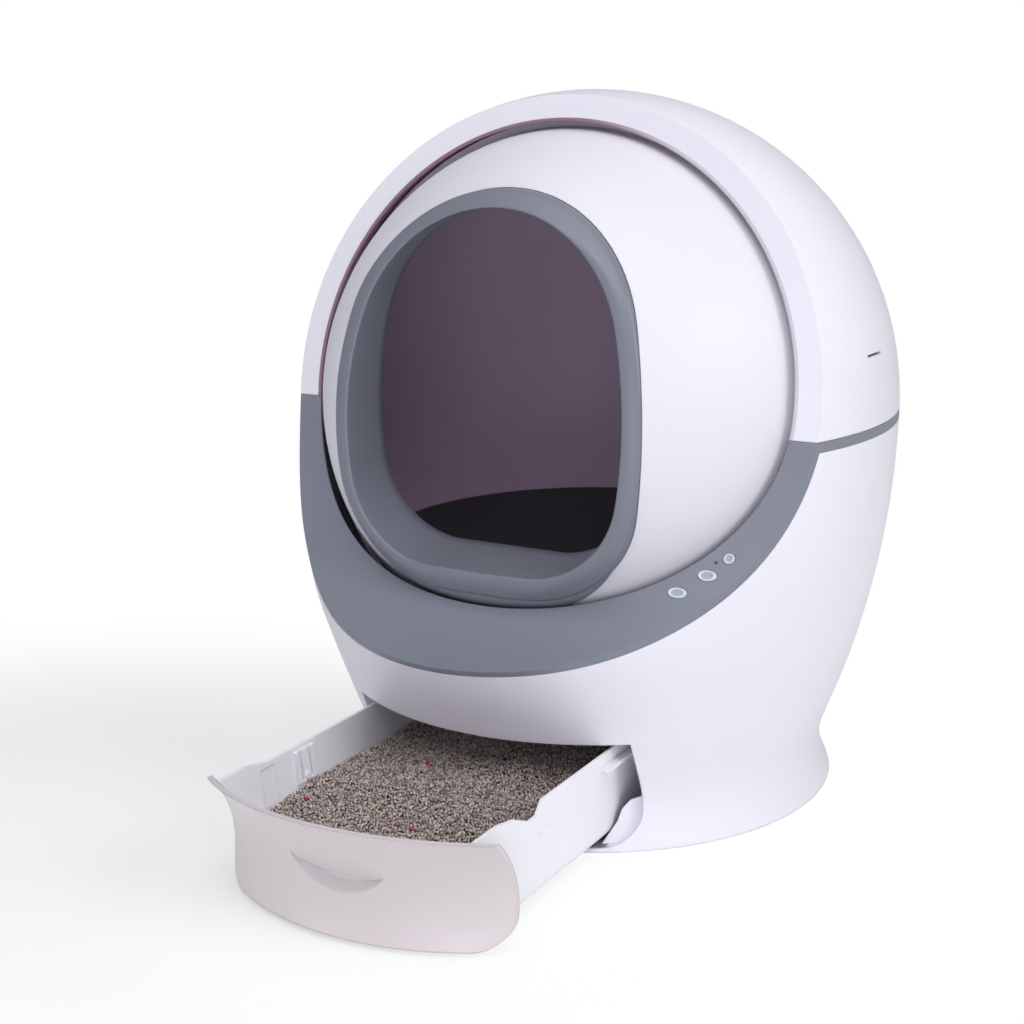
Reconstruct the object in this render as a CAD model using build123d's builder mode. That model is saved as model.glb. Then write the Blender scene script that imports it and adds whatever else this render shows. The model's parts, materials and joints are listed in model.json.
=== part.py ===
"""A globe litter box with a waste drawer: housing, lift-off cover, turning drum and its drive, drawer.

Millimetres, +Z up, the front faces -Y, and the origin is the middle of the underside. The drawer
is drawn pulled out by drawer_out, as it stands at rest.
"""
import os
from math import asin, atan2, ceil, cos, degrees, exp, pi, radians, sin, sqrt, tan

from build123d import *

os.makedirs("parts", exist_ok=True)

# ---------------------------------------------------------------- driving dimensions
cover_radius = 270.0          # outside of the round cover
centre_height = 341.0         # height of the drum's centre, and of the split under the cover
cover_wall = 3.6
housing_wall = 3.5
housing_arc_radius = 745.0    # side of the housing, seen in section
waist_height = 36.0           # narrowest place above the foot
flare_radius = 70.0           # hollow of the waist
chin_reach = 33.0             # how far the chin stands out of the round housing
chin_height = 176.0           # where the chin stands out most
chin_spread = 21.5            # degrees to each side in which the chin fades

lean = 12.0                   # the drum's axis and the front opening lean back by this angle
fascia_distance = 102.5       # from the vertical axis to the fascia, at centre height
fascia_arc_start = 356.7      # height at which the fascia begins to sweep forward
fascia_arc_radius = 243.4
fascia_arc_end = 84.0         # degrees, where the sweep ends
collar_thickness = 6.0
opening_radius = 249.0        # sphere that the front opening follows
return_wall = 2.4             # the cover turns back in round its opening
return_depth = 20.0
band_height = 8.5             # grey band between the cover and the housing
band_width = 8.0
lip_width = 3.0               # the cover's lip drops inside the band
lip_depth = 6.0
seam_gap = 0.3

drum_radius = 242.0
drum_wall = 3.5
seam_plane = 20.0             # the two shells meet this far forward of the centre
seam_band_reach = 8.0
seam_band_wall = 2.6
track_width = 14.0            # the drum's round tracks, in which the rollers run
front_track_radius = 234.0
rear_track_radius = 219.0
liner_height = 212.0          # height of the mat's edge
liner_wall = 3.0
port_radius = 86.0            # waste port; it leans back twice the lean, so it ends facing down
screen_distance = 185.0       # sieve beside the port, from the drum's axis
screen_angle = 117.0          # round the drum's axis from straight below
screen_border = 12.0
screen_wall = 3.0
screen_slot = 6.0
screen_pitch = 13.0

rim_plate = 4.0
rim_skirt = 3.5
rim_top = 535.0
rim_bottom = 211.0
rim_half_width = 143.0
rim_widest = 348.0            # height at which the rim is widest
rim_side_radius = 328.0
rim_corner_radius = 92.0
lip_top = 520.5               # the tunnel's outline where it meets the rim's face
lip_bottom = 226.0
lip_half_width = 129.0
lip_corner_radius = 78.0
rim_face_radius = 458.5       # the face is part of a large sphere
rim_face_centre = (0.0, 237.2, 314.2)
rim_sphere_radius = 247.5     # low on the drum the rim stays inside this sphere
rim_step_height = 380.0
rim_flange_wall = 2.0         # the rim's flange lies on the drum and shows under its sill
rim_flange_drop = 12.0
rim_flange_inset = 6.0
tunnel_wall = 3.5
tunnel_end = 150.0            # the entry tunnel ends this far in front of the vertical axis
tunnel_front = 235.0
tunnel_narrowing = 2.5
sill_rise = 13.0

drawer_out = 208.0            # the drawer's axis stands this far in front of the housing's, at rest
panel_half_width = 130.0
panel_radius = 208.0          # plan radius of the drawer front at its waist
panel_hollow_radius = 87.0    # hollow of the drawer front, seen in section
panel_wall = 3.4
panel_bottom = 4.0
panel_corner_height = 95.5
panel_top = 103.5
panel_corner_radius = 24.0
scoop_offset = 4.0
scoop_half_width = 42.0
scoop_top = 84.0              # here the scoop runs out into the surface
scoop_bottom = 37.5
scoop_crease = 49.0           # deepest line of the scoop, above its ledge
scoop_depth = 8.5
scoop_rise = 45.0             # degrees, slope of the ledge
scoop_wall = 2.0
tub_top_half = 116.5
tub_floor_half = 106.0
tub_floor_radius = 12.0
tub_bottom = 6.0
tub_wall = 2.6
tub_side_top = 97.4           # beside the drawer front
tub_back_top = 92.0
tub_front_top = 60.0
tub_front_radius = 190.0
tub_rear = 148.0              # closed position of the tub's back
ramp_front = 372.0            # where the side walls begin to drop, and where they are down
ramp_back = 345.0
notch_depth = 11.0
notch_front = 347.0
notch_low_front = 323.0
notch_low_back = 312.0
notch_back = 305.0
clip_centre = 300.0
clip_width = 26.0
clip_bottom = 61.0
clip_tops = (88.0, 79.0)      # left and right
clip_wall = 2.0
clip_slot = 2.5
clip_slot_place = 6.0
groove_front = 355.0          # shallow groove down the tub's left wall
groove_back = 338.0
groove_depth = 0.9
groove_bottom = 54.0
rivet_height = 65.0
rivet_radius = 2.0
rivet_head_radius = 3.6
rivet_head = 1.2
runner_bottom = 77.3
runner_thickness = 3.6
runner_reach = 121.0
runner_front = 205.0
litter_edge = 54.0
litter_crown = 64.0

bay_half_width = 131.5
bay_top = 98.0
bay_wall = 2.5
bay_corner_radius = 25.0
bay_start = 65.0              # the bay's mouth is cut from here forward
corner_gap = 1.2              # corner plates in the bay's mouth, behind the closed drawer front
corner_wall = 2.5
corner_top = 43.0
corner_edge = ((14.0, 38.5), (8.5, 31.0), (6.0, 21.0), (-4.5, 0.0))  # from the tub's floor out, and up
bay_rear = 151.5
plate_thickness = 3.0
deck_bottom = 98.3
deck_thickness = 3.0
chute_width = 180.0
chute_length = 200.0
chute_corner = 7.0
rail_thickness = 4.0
rail_bearing = 2.3            # how far the drawer's runners lie on the rails
rail_front = 155.0
fit_gap = 0.3                 # between pieces that seat in each other

gear_module = 3.0
ring_teeth = 135
pinion_teeth = 15
gear_width = 12.0
ring_plane = -150.0           # along the drum's axis from its centre
ring_inner_radius = 196.3
seat_inner_radius = 178.0
tooth_share = 0.40            # tooth thickness over pitch
mesh_gap = 0.35
pinion_angle = 36.0           # round the drum's axis from straight below
shaft_radius = 2.5
shaft_gap = 0.05
bracket_wall = 3.0
bracket_width = 36.0
gearbox_radius = 15.0
gearbox_length = 20.0
motor_radius = 12.0
motor_length = 24.0

roller_radius = 13.0
roller_width = 12.0
axle_radius = 3.0
axle_gap = 0.06
ear_wall = 6.0
ear_gap = 1.0
ear_radius = 9.0
roller_gap = 0.05
front_roller_plane = 75.0
front_roller_angle = 40.0
rear_roller_plane = -115.0
rear_roller_angle = 38.0
foot_width = 22.0
foot_length = 32.0
foot_height = 4.0

button_places = ((165.0, -174.3), (184.4, -160.8), (197.9, -149.5))
button_lengths = (16.0, 16.0, 9.0)
button_width = 9.6
round_button_width = 9.0
button_proud = 1.2
button_gap = 0.3
button_flange = 1.6
button_flange_depth = 1.5
button_travel = 1.2
light_place = (188.1, -152.6)
light_radius = 1.3
board_depth = 17.0
board_length = 90.0
board_width = 15.0
board_wall = 1.6
post_radius = 2.6
switch_size = 6.2
switch_height = 3.5
switch_corner = 0.65
plunger_radius = 1.7
plunger_height = 1.0

screw_radius = 1.8
screw_head_radius = 3.6
screw_length = 13.0
screw_head_height = 2.2
thread_gap = 0.05
seam_screw_radius = 1.5
seam_screw_head = 3.0
seam_screw_angles = (0.0, 62.0, 118.0, 242.0, 298.0)
boss_radius = 7.0
boss_height = 26.0
boss_inset = 7.8              # from the housing's waist in to a boss's middle
boss_angles = (90.0, 25.0, 155.0, -35.0, 215.0)
pad_radius = 12.0
pad_depth = 1.5
pad_inset = 22.8              # from the housing's waist in to a pad's middle
pad_angles = (45.0, 135.0, -40.0, 220.0)
slot_height = 399.0
slot_length = 30.0
slot_thickness = 2.2
slot_middle = -10.0
slot_depth = 6.0
main_board_x = -88.0
main_board_inset = 45.0       # from the deck's edge at the back to the board's middle
main_board_size = (64.0, 38.0)
main_board_lift = 5.0
converter_size = (19.0, 15.0, 15.0)
chip_size = (12.0, 12.0, 3.2)
socket_size = (10.0, 6.0, 7.5)
socket_pitch = 16.0
tab_width = 14.0
tab_low = 9.0
tab_high = 6.0
tab_proud = 2.2
tab_place = 30.0
inlet_height = 128.0
inlet_radius = 8.0
inlet_bore = 2.8
inlet_bore_depth = 9.0
inlet_length = 16.0
inlet_flange = 11.0
inlet_flange_depth = 2.0
far = 400.0                   # reach of cutting blocks

# ---------------------------------------------------------------- frames
drum_centre = Vector(0, 0, centre_height)
drum_axis = Vector(0, -cos(radians(lean)), sin(radians(lean)))
drum_down = Vector(0, -sin(radians(lean)), -cos(radians(lean)))
across = Vector(1, 0, 0)
meridian = Plane(origin=drum_centre, x_dir=across, z_dir=across.cross(drum_axis))
spin_axis = Axis(drum_centre, drum_axis)
drawer_axis = Axis((0, -drawer_out, 0), (0, 0, 1))


def drum_plane(along):
    """Plane square to the drum's axis, at a distance along it; its y runs straight down the drum."""
    return Plane(origin=drum_centre + drum_axis * along, x_dir=across * -1, z_dir=drum_axis)


def drum_point(along, radius, angle):
    """Point by its place along the drum's axis, and radius and angle from straight below."""
    turned = drum_down * cos(radians(angle)) + across * sin(radians(angle))
    return drum_centre + drum_axis * along + turned * radius


def sphere_section(along, radius=drum_radius):
    """Radius of the drum's surface at a place along its axis."""
    return sqrt(radius**2 - along**2)


# ---------------------------------------------------------------- the housing's outer form
waist_span = housing_arc_radius + flare_radius
waist_rise = centre_height - waist_height
flare_centre = cover_radius - housing_arc_radius + sqrt(waist_span**2 - waist_rise**2)
flare_top = waist_height + flare_radius * waist_rise / waist_span
band_bottom = centre_height - band_height
deck_top = deck_bottom + deck_thickness


def housing_radius(height):
    """Radius of the round housing: one long arc, and a hollow above the foot."""
    if height < flare_top:
        return flare_centre - sqrt(flare_radius**2 - (height - waist_height) ** 2)
    drop = centre_height - height
    return cover_radius - housing_arc_radius + sqrt(housing_arc_radius**2 - drop**2)


def chin(height):
    """How far the chin stands out at its middle, at a height."""
    if height <= bay_top:
        return 0.0
    if height < chin_height:
        return chin_reach * ((height - bay_top) / (chin_height - bay_top)) ** 1.3
    fade = min(1.0, (height - chin_height) / (centre_height - chin_height))
    return chin_reach * cos(pi / 2 * fade) ** 2


def housing_face(height, inset):
    """The housing's outline at a height, drawn in by inset."""
    outline = []
    for step in range(0, 360, 10):
        turn = (step + 180) % 360 - 180
        radius = housing_radius(height) - inset + chin(height) * exp(-((turn / chin_spread) ** 2) / 2)
        outline.append((radius * sin(radians(step)), -radius * cos(radians(step))))
    with BuildSketch(Plane.XY.offset(height)) as face:
        with BuildLine():
            Spline(*outline, periodic=True)
        make_face()
    return face.sketch


def housing_form(bottom, top, inset=0.0):
    """Solid of the housing's form between two heights."""
    spacing = 24.0
    steps = max(3, ceil((top - bottom) / spacing))
    heights = [bottom + (top - bottom) * i / steps for i in range(steps + 1)]
    with BuildPart() as form:
        loft([housing_face(height, inset) for height in heights])
    return form.part


def layer(bottom, top):
    """Slab of everything between two heights."""
    with BuildPart() as slab:
        with Locations((0, 0, bottom)):
            Box(4 * far, 4 * far, top - bottom, align=(Align.CENTER, Align.CENTER, Align.MIN))
    return slab.part


# ---------------------------------------------------------------- the fascia that trims the front
lean_cos, lean_sin = cos(radians(lean)), sin(radians(lean))
fascia_start = (-fascia_distance + (fascia_arc_start - centre_height) * lean_sin / lean_cos, fascia_arc_start)
fascia_centre = (
    fascia_start[0] - fascia_arc_radius * lean_cos,
    fascia_start[1] + fascia_arc_radius * lean_sin,
)


def fascia_point(angle, back=0.0):
    """(y, z) on the fascia's sweep, angle in degrees below level, moved back by back."""
    radius = fascia_arc_radius + back
    return (
        fascia_centre[0] + radius * cos(radians(angle)),
        fascia_centre[1] - radius * sin(radians(angle)),
    )


def fascia_height(y):
    """Height of the fascia's sweep at y."""
    return fascia_centre[1] - sqrt(fascia_arc_radius**2 - (y - fascia_centre[0]) ** 2)


def fascia_plane(x, y):
    """Plane on the fascia's sweep at x and y; its z stands out of the fascia."""
    outwards = Vector(0, fascia_centre[0] - y, fascia_centre[1] - fascia_height(y))
    return Plane(origin=(x, y, fascia_height(y)), x_dir=across, z_dir=outwards.normalized())


def ahead_of_fascia(back=0.0):
    """Block of everything in front of the fascia, moved back by back."""
    start = fascia_point(lean, back)
    middle = fascia_point((lean + fascia_arc_end) / 2, back)
    end = fascia_point(fascia_arc_end, back)
    rise = 2 * far - start[1]
    upper = (start[0] + rise * lean_sin / lean_cos, 2 * far)
    with BuildPart() as block:
        with BuildSketch(Plane.YZ):
            with BuildLine():
                ThreePointArc(start, middle, end)
                Polyline(end, (-2 * far, end[1]), (-2 * far, 2 * far), upper, start)
            make_face()
        extrude(amount=far, both=True)
    return block.part


def drum_ball(radius):
    """Ball round the drum's centre."""
    with BuildPart() as ball:
        with Locations(drum_centre):
            Sphere(radius)
    return ball.part


opening_ball = drum_ball(opening_radius)
ahead = ahead_of_fascia()
ahead_of_housing = ahead_of_fascia(collar_thickness)
outer_form = housing_form(0, centre_height)
inner_form = housing_form(-housing_wall, centre_height + housing_wall, housing_wall)

# ---------------------------------------------------------------- frames of the button row
button_planes = [fascia_plane(*place) for place in button_places]
light_plane = fascia_plane(*light_place)
board_normal = button_planes[1].z_dir
board_row = button_planes[2].origin - button_planes[0].origin
board_row = (board_row - board_normal * board_row.dot(board_normal)).normalized()
board_plane = Plane(button_planes[1].origin - board_normal * board_depth, x_dir=board_row, z_dir=board_normal)
post_place = board_length / 2 - post_radius
button_sizes = [
    (length, button_width if length > button_width else round_button_width) for length in button_lengths
]

# ---------------------------------------------------------------- front collar, with the grey band
with BuildPart() as grey_band:
    add(outer_form)
    add(layer(band_bottom, 2 * centre_height), mode=Mode.INTERSECT)
    with Locations((0, 0, centre_height)):
        Cylinder(cover_radius - band_width, 4 * band_height, mode=Mode.SUBTRACT)
    add(ahead_of_housing, mode=Mode.SUBTRACT)
with BuildPart() as front_collar:
    add(outer_form)
    add(ahead_of_housing, mode=Mode.INTERSECT)
    add(ahead, mode=Mode.SUBTRACT)
    add(opening_ball, mode=Mode.SUBTRACT)
    add(grey_band.part)
    for plane, (length, width) in zip(button_planes, button_sizes):
        with BuildSketch(plane.offset(collar_thickness)):
            Ellipse(length / 2 + button_gap, width / 2 + button_gap)
        extrude(amount=-2.5 * collar_thickness, mode=Mode.SUBTRACT)
    with BuildSketch(light_plane.offset(collar_thickness)):
        Circle(light_radius + thread_gap)
    extrude(amount=-2.5 * collar_thickness, mode=Mode.SUBTRACT)
    with BuildSketch(board_plane.offset(board_wall)):
        with Locations((-post_place, 0), (post_place, 0)):
            Circle(post_radius)
    extrude(amount=board_depth - board_wall - collar_thickness / 2)
front_collar.part.label = "front_collar"
export_step(front_collar.part, "parts/front_collar.step")

# ---------------------------------------------------------------- housing
waist_radius = flare_centre - flare_radius
boss_circle = waist_radius - boss_inset
pad_circle = waist_radius - pad_inset
boss_places = [
    (boss_circle * cos(radians(angle)), boss_circle * sin(radians(angle))) for angle in boss_angles
]
inlet_slope = degrees(atan2(centre_height - inlet_height, housing_arc_radius))
inlet_plane = Plane(
    origin=(0, housing_radius(inlet_height) + fit_gap / 2, inlet_height), x_dir=across,
    z_dir=(0, cos(radians(inlet_slope)), -sin(radians(inlet_slope))),
)


def bay_outline(grow=0.0, mode=Mode.ADD):
    """Section of the drawer's bay, for a sketch on an XZ plane: only its lower corners are round."""
    height = bay_top - plate_thickness + grow
    with Locations((0, bay_top)):
        RectangleRounded(2 * (bay_half_width + grow), 2 * height, bay_corner_radius + grow, mode=mode)
        Rectangle(far, far, align=(Align.CENTER, Align.MIN), mode=Mode.SUBTRACT)


with BuildPart() as base_housing:
    add(outer_form)
    add(inner_form, mode=Mode.SUBTRACT)
    add(layer(band_bottom, 2 * centre_height), mode=Mode.SUBTRACT)
    add(ahead_of_housing, mode=Mode.SUBTRACT)
    with Locations(*[(x, y, plate_thickness) for x, y in boss_places]):
        Cylinder(boss_radius, boss_height, align=(Align.CENTER, Align.CENTER, Align.MIN))
        Cylinder(screw_radius + thread_gap, screw_length, align=(Align.CENTER, Align.CENTER, Align.MIN),
                 mode=Mode.SUBTRACT)
    with BuildSketch(Plane.XZ.offset(bay_start)):
        bay_outline()
    extrude(amount=far, mode=Mode.SUBTRACT)
    with BuildSketch(inlet_plane.offset(inlet_flange)):
        Circle(inlet_radius + fit_gap)
    extrude(amount=-3 * inlet_flange, mode=Mode.SUBTRACT)
base_housing.part.label = "base_housing"
export_step(base_housing.part, "parts/base_housing.step")

# ---------------------------------------------------------------- base plate, its feet and screws
plate_radius = housing_radius(plate_thickness) - housing_wall - fit_gap
pad_places = [(pad_circle * cos(radians(angle)), pad_circle * sin(radians(angle))) for angle in pad_angles]
with BuildPart() as base_plate:
    Cylinder(plate_radius, plate_thickness, align=(Align.CENTER, Align.CENTER, Align.MIN))
    with Locations(*pad_places):
        Cylinder(pad_radius + thread_gap, pad_depth, align=(Align.CENTER, Align.CENTER, Align.MIN),
                 mode=Mode.SUBTRACT)
    with Locations(*boss_places):
        Cylinder(screw_radius + fit_gap / 2, plate_thickness, mode=Mode.SUBTRACT,
                 align=(Align.CENTER, Align.CENTER, Align.MIN))
        Cone(screw_head_radius + fit_gap / 2, screw_radius + fit_gap / 2, screw_head_height,
             align=(Align.CENTER, Align.CENTER, Align.MIN), mode=Mode.SUBTRACT)
base_plate.part.label = "base_plate"
export_step(base_plate.part, "parts/base_plate.step")

with BuildPart() as anti_slip_pads:
    with Locations(*pad_places):
        Cylinder(pad_radius, pad_depth, align=(Align.CENTER, Align.CENTER, Align.MIN))
anti_slip_pads.part.label = "anti_slip_pads"
export_step(anti_slip_pads.part, "parts/anti_slip_pads.step")

with BuildPart() as housing_screws:
    with Locations(*boss_places):
        Cone(screw_head_radius, screw_radius, screw_head_height,
             align=(Align.CENTER, Align.CENTER, Align.MIN))
        Cylinder(screw_radius, screw_length, align=(Align.CENTER, Align.CENTER, Align.MIN))
housing_screws.part.label = "housing_screws"
export_step(housing_screws.part, "parts/housing_screws.step")

# ---------------------------------------------------------------- the drawer front's form
panel_origin = Vector(0, -drawer_out, 0)


def panel_reach(height, inset=0.0):
    """Radius of the drawer front's surface about the drawer's axis, at a height."""
    hollow = panel_hollow_radius + inset
    return panel_radius + panel_hollow_radius - sqrt(hollow**2 - (height - waist_height) ** 2)


def panel_form(inset=0.0):
    """Round form behind the drawer front's surface, moved in by inset."""
    low, high = -panel_bottom, panel_top + panel_bottom
    with BuildPart() as form:
        with BuildSketch(Plane(origin=panel_origin, x_dir=across, z_dir=(0, -1, 0))):
            with BuildLine():
                ThreePointArc(*[(panel_reach(height, inset), height) for height in (low, waist_height, high)])
                Polyline((panel_reach(high, inset), high), (0, high), (0, low),
                         (panel_reach(low, inset), low))
            make_face()
        revolve(axis=drawer_axis)
    return form.part


# ---------------------------------------------------------------- drawer bay, deck and rails
with BuildPart() as corner_plates:
    with BuildSketch(Plane.XZ.offset(bay_start)):
        with BuildLine():
            Polyline((bay_half_width + bay_wall / 2, corner_top),
                     *[(tub_floor_half + out, height) for out, height in corner_edge],
                     (bay_half_width + bay_wall / 2, 0), close=True)
        make_face()
        mirror(about=Plane.YZ)
        bay_outline(bay_wall, mode=Mode.INTERSECT)
    extrude(amount=far)
    add(Pos(0, drawer_out, 0) * panel_form(panel_wall + corner_gap), mode=Mode.INTERSECT)
    add(Pos(0, drawer_out, 0) * panel_form(panel_wall + corner_gap + corner_wall), mode=Mode.SUBTRACT)
with BuildPart() as drawer_bay:
    with BuildSketch(Plane.XZ.offset(-bay_rear)):
        bay_outline(bay_wall)
        bay_outline(mode=Mode.SUBTRACT)
    extrude(amount=bay_rear + cover_radius)
    with BuildSketch(Plane.XZ.offset(-bay_rear - bay_wall)):
        bay_outline(bay_wall)
    extrude(amount=bay_wall)
    add(corner_plates.part)
    add(layer(-far, plate_thickness), mode=Mode.SUBTRACT)
    add(housing_form(0, bay_top + housing_wall, housing_wall + fit_gap), mode=Mode.INTERSECT)
drawer_bay.part.label = "drawer_bay"
export_step(drawer_bay.part, "parts/drawer_bay.step")

deck_radius = housing_radius(deck_bottom) - housing_wall - fit_gap
main_board_place = (main_board_x, sqrt(deck_radius**2 - main_board_x**2) - main_board_inset)
main_board_posts = [
    (main_board_place[0] + side_x * (main_board_size[0] / 2 - 2 * post_radius),
     main_board_place[1] + side_y * (main_board_size[1] / 2 - 2 * post_radius))
    for side_x in (-1, 1) for side_y in (-1, 1)
]
with BuildPart() as bay_deck:
    with BuildSketch(Plane.XY.offset(deck_bottom)):
        Circle(deck_radius)
        RectangleRounded(chute_width, chute_length, chute_corner, mode=Mode.SUBTRACT)
    extrude(amount=deck_thickness)
    with Locations(*[(x, y, deck_top) for x, y in main_board_posts]):
        Cylinder(post_radius, main_board_lift, align=(Align.CENTER, Align.CENTER, Align.MIN))
bay_deck.part.label = "bay_deck"
export_step(bay_deck.part, "parts/bay_deck.step")

for name, side in (("left", -1), ("right", 1)):
    with BuildPart() as rail:
        with BuildSketch(Plane.XZ.offset(rail_front)):
            with BuildLine():
                Polyline(
                    (side * (runner_reach - rail_bearing), runner_bottom - fit_gap),
                    (side * bay_half_width, runner_bottom - fit_gap),
                    (side * bay_half_width, runner_bottom - fit_gap - 2 * rail_thickness),
                    (side * (runner_reach - rail_bearing), runner_bottom - fit_gap - rail_thickness),
                    close=True,
                )
            make_face()
        extrude(amount=-(rail_front + bay_rear))
    rail.part.label = "drawer_rail_" + name
    export_step(rail.part, "parts/drawer_rail_" + name + ".step")

# ---------------------------------------------------------------- main board and power inlet
with BuildPart() as main_board:
    with Locations((*main_board_place, deck_top + main_board_lift)):
        Box(*main_board_size, board_wall, align=(Align.CENTER, Align.CENTER, Align.MIN))
    with Locations((main_board_place[0], main_board_place[1], deck_top + main_board_lift)):
        with Locations((-main_board_size[0] / 4, main_board_size[1] / 8, 0)):
            Box(*converter_size, align=(Align.CENTER, Align.CENTER, Align.MIN))
        with Locations((main_board_size[0] / 7, main_board_size[1] / 8, 0)):
            Box(*chip_size, align=(Align.CENTER, Align.CENTER, Align.MIN))
        with Locations(*[(place * socket_pitch, socket_size[1] - main_board_size[1] / 2, 0)
                         for place in (-1, 0, 1)]):
            Box(*socket_size, align=(Align.CENTER, Align.CENTER, Align.MIN))
main_board.part.label = "main_board"
export_step(main_board.part, "parts/main_board.step")

with BuildPart() as power_inlet:
    with BuildSketch(inlet_plane):
        Circle(inlet_flange)
    extrude(amount=inlet_flange_depth)
    with BuildSketch(inlet_plane):
        Circle(inlet_radius)
    extrude(amount=-inlet_length)
    with BuildSketch(inlet_plane.offset(inlet_flange_depth)):
        Circle(inlet_bore)
    extrude(amount=-inlet_bore_depth, mode=Mode.SUBTRACT)
power_inlet.part.label = "power_inlet"
export_step(power_inlet.part, "parts/power_inlet.step")

# ---------------------------------------------------------------- button board, switches and light
board_top = board_plane.offset(board_wall)
switch_places = [board_top.to_local_coords(plane.origin) for plane in button_planes]
with BuildPart() as button_board:
    with BuildSketch(board_plane):
        RectangleRounded(board_length, board_width, post_radius)
    extrude(amount=board_wall)
button_board.part.label = "button_board"
export_step(button_board.part, "parts/button_board.step")

with BuildPart() as button_switches:
    for place in switch_places:
        with BuildSketch(board_top):
            with Locations((place.X, place.Y)):
                RectangleRounded(switch_size, switch_size, switch_corner)
        extrude(amount=switch_height)
        with BuildSketch(board_top):
            with Locations((place.X, place.Y)):
                Circle(plunger_radius)
        extrude(amount=switch_height + plunger_height)
button_switches.part.label = "button_switches"
export_step(button_switches.part, "parts/button_switches.step")

with BuildPart() as status_light:
    with BuildSketch(light_plane):
        Circle(light_radius)
    extrude(amount=-(board_depth - board_wall - 2 * fit_gap))
status_light.part.label = "status_light"
export_step(status_light.part, "parts/status_light.step")

# ---------------------------------------------------------------- buttons
stem_end = board_depth - board_wall - switch_height - plunger_height - button_travel - fit_gap
for name, plane, (length, width) in zip(("left", "middle", "round"), button_planes, button_sizes):
    with BuildPart() as button:
        with BuildSketch(plane.offset(button_proud)):
            Ellipse(length / 2, width / 2)
        extrude(amount=-(button_proud + collar_thickness + fit_gap))
        with BuildSketch(plane.offset(-collar_thickness - fit_gap)):
            Ellipse(length / 2 + button_flange, width / 2 + button_flange)
        extrude(amount=-button_flange_depth)
        with BuildSketch(plane.offset(-collar_thickness - fit_gap)):
            Circle(plunger_radius)
        extrude(amount=-(stem_end - collar_thickness - fit_gap))
        top_face = button.faces().sort_by(Axis(plane.origin, plane.z_dir))[-1]
        fillet(top_face.edges(), button_proud / 2)
    button.part.label = "button_" + name
    export_step(button.part, "parts/button_" + name + ".step")

# ---------------------------------------------------------------- lift-off cover
cover_bottom = centre_height + seam_gap
lip_outer = cover_radius - band_width - seam_gap
with BuildPart() as fascia:
    add(drum_ball(cover_radius - cover_wall / 2))
    add(ahead_of_fascia(cover_wall), mode=Mode.INTERSECT)
    add(opening_ball, mode=Mode.SUBTRACT)
with BuildPart() as cover_return:
    add(drum_ball(opening_radius + return_wall))
    add(ahead_of_fascia(return_depth), mode=Mode.INTERSECT)
    add(opening_ball, mode=Mode.SUBTRACT)
with BuildPart() as cover_lip:
    with BuildSketch(Plane.XY.offset(cover_bottom - lip_depth)):
        Circle(lip_outer)
        Circle(lip_outer - lip_width, mode=Mode.SUBTRACT)
    extrude(amount=lip_depth + lip_width)
    add(ahead_of_fascia(collar_thickness + seam_gap), mode=Mode.SUBTRACT)
with BuildPart() as upper_cover:
    add(drum_ball(cover_radius))
    add(drum_ball(cover_radius - cover_wall), mode=Mode.SUBTRACT)
    add(fascia.part)
    add(cover_return.part)
    with BuildSketch(Plane.XY.offset(cover_bottom)):
        Circle(cover_radius - cover_wall / 2)
        Circle(lip_outer - lip_width, mode=Mode.SUBTRACT)
    extrude(amount=lip_width)
    add(layer(-far, cover_bottom), mode=Mode.SUBTRACT)
    add(ahead, mode=Mode.SUBTRACT)
    add(cover_lip.part)
    with Locations(*[(side * sqrt(cover_radius**2 - slot_middle**2 - (slot_height - centre_height) ** 2),
                      slot_middle, slot_height) for side in (-1, 1)]):
        Box(2 * slot_depth, slot_length, slot_thickness, mode=Mode.SUBTRACT)
upper_cover.part.label = "upper_cover"
export_step(upper_cover.part, "parts/upper_cover.step")

for name, turn in (("left", 180 - tab_place), ("right", tab_place)):
    with BuildPart() as tab:
        with BuildSketch(Plane.XY.offset(centre_height - tab_low)):
            Circle(cover_radius + tab_proud)
            Circle(cover_radius + thread_gap, mode=Mode.SUBTRACT)
            with Locations(Location((0, 0, 0), (0, 0, 1), turn)):
                Rectangle(2 * cover_radius, tab_width, align=(Align.MIN, Align.CENTER), mode=Mode.INTERSECT)
        extrude(amount=tab_low + tab_high)
    tab.part.label = "cover_tab_" + name
    export_step(tab.part, "parts/cover_tab_" + name + ".step")

# ---------------------------------------------------------------- entry outlines
def entry_face(y, grow, top, bottom, half_width, side_radius, corner_radius):
    """Egg-shaped outline of the entry at y, with a flat sill, let out by grow."""
    radius, corner = side_radius + grow, corner_radius + grow
    side_x = half_width - side_radius
    rise = top + grow - rim_widest
    top_radius = (radius**2 - side_x**2 - rise**2) / (2 * (radius - rise))
    corner_z = bottom - grow + corner
    corner_x = side_x + sqrt((radius - corner) ** 2 - (rim_widest - corner_z) ** 2)
    upper = degrees(atan2(rise - top_radius, -side_x))
    lower = degrees(atan2(corner_z - rim_widest, corner_x - side_x))
    with BuildSketch(Plane.XZ.offset(-y)) as face:
        with BuildLine():
            CenterArc((0, rim_widest + rise - top_radius), top_radius, upper, 180 - 2 * upper)
            CenterArc((-side_x, rim_widest), radius, 180 - upper, upper - lower)
            CenterArc((-corner_x, corner_z), corner, 180 - lower, 90 + lower)
            Line((-corner_x, corner_z - corner), (corner_x, corner_z - corner))
            CenterArc((corner_x, corner_z), corner, -90, 90 + lower)
            CenterArc((side_x, rim_widest), radius, lower, upper - lower)
        make_face()
    return face.sketch


def rim_prism(grow=0.0):
    """Prism of the entry rim's outline, let out by grow."""
    face = entry_face(-tunnel_front - 2 * collar_thickness, grow, rim_top, rim_bottom, rim_half_width,
                      rim_side_radius, rim_corner_radius)
    with BuildPart() as prism:
        extrude(face, amount=tunnel_end, dir=(0, 1, 0))
    return prism.part


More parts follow.
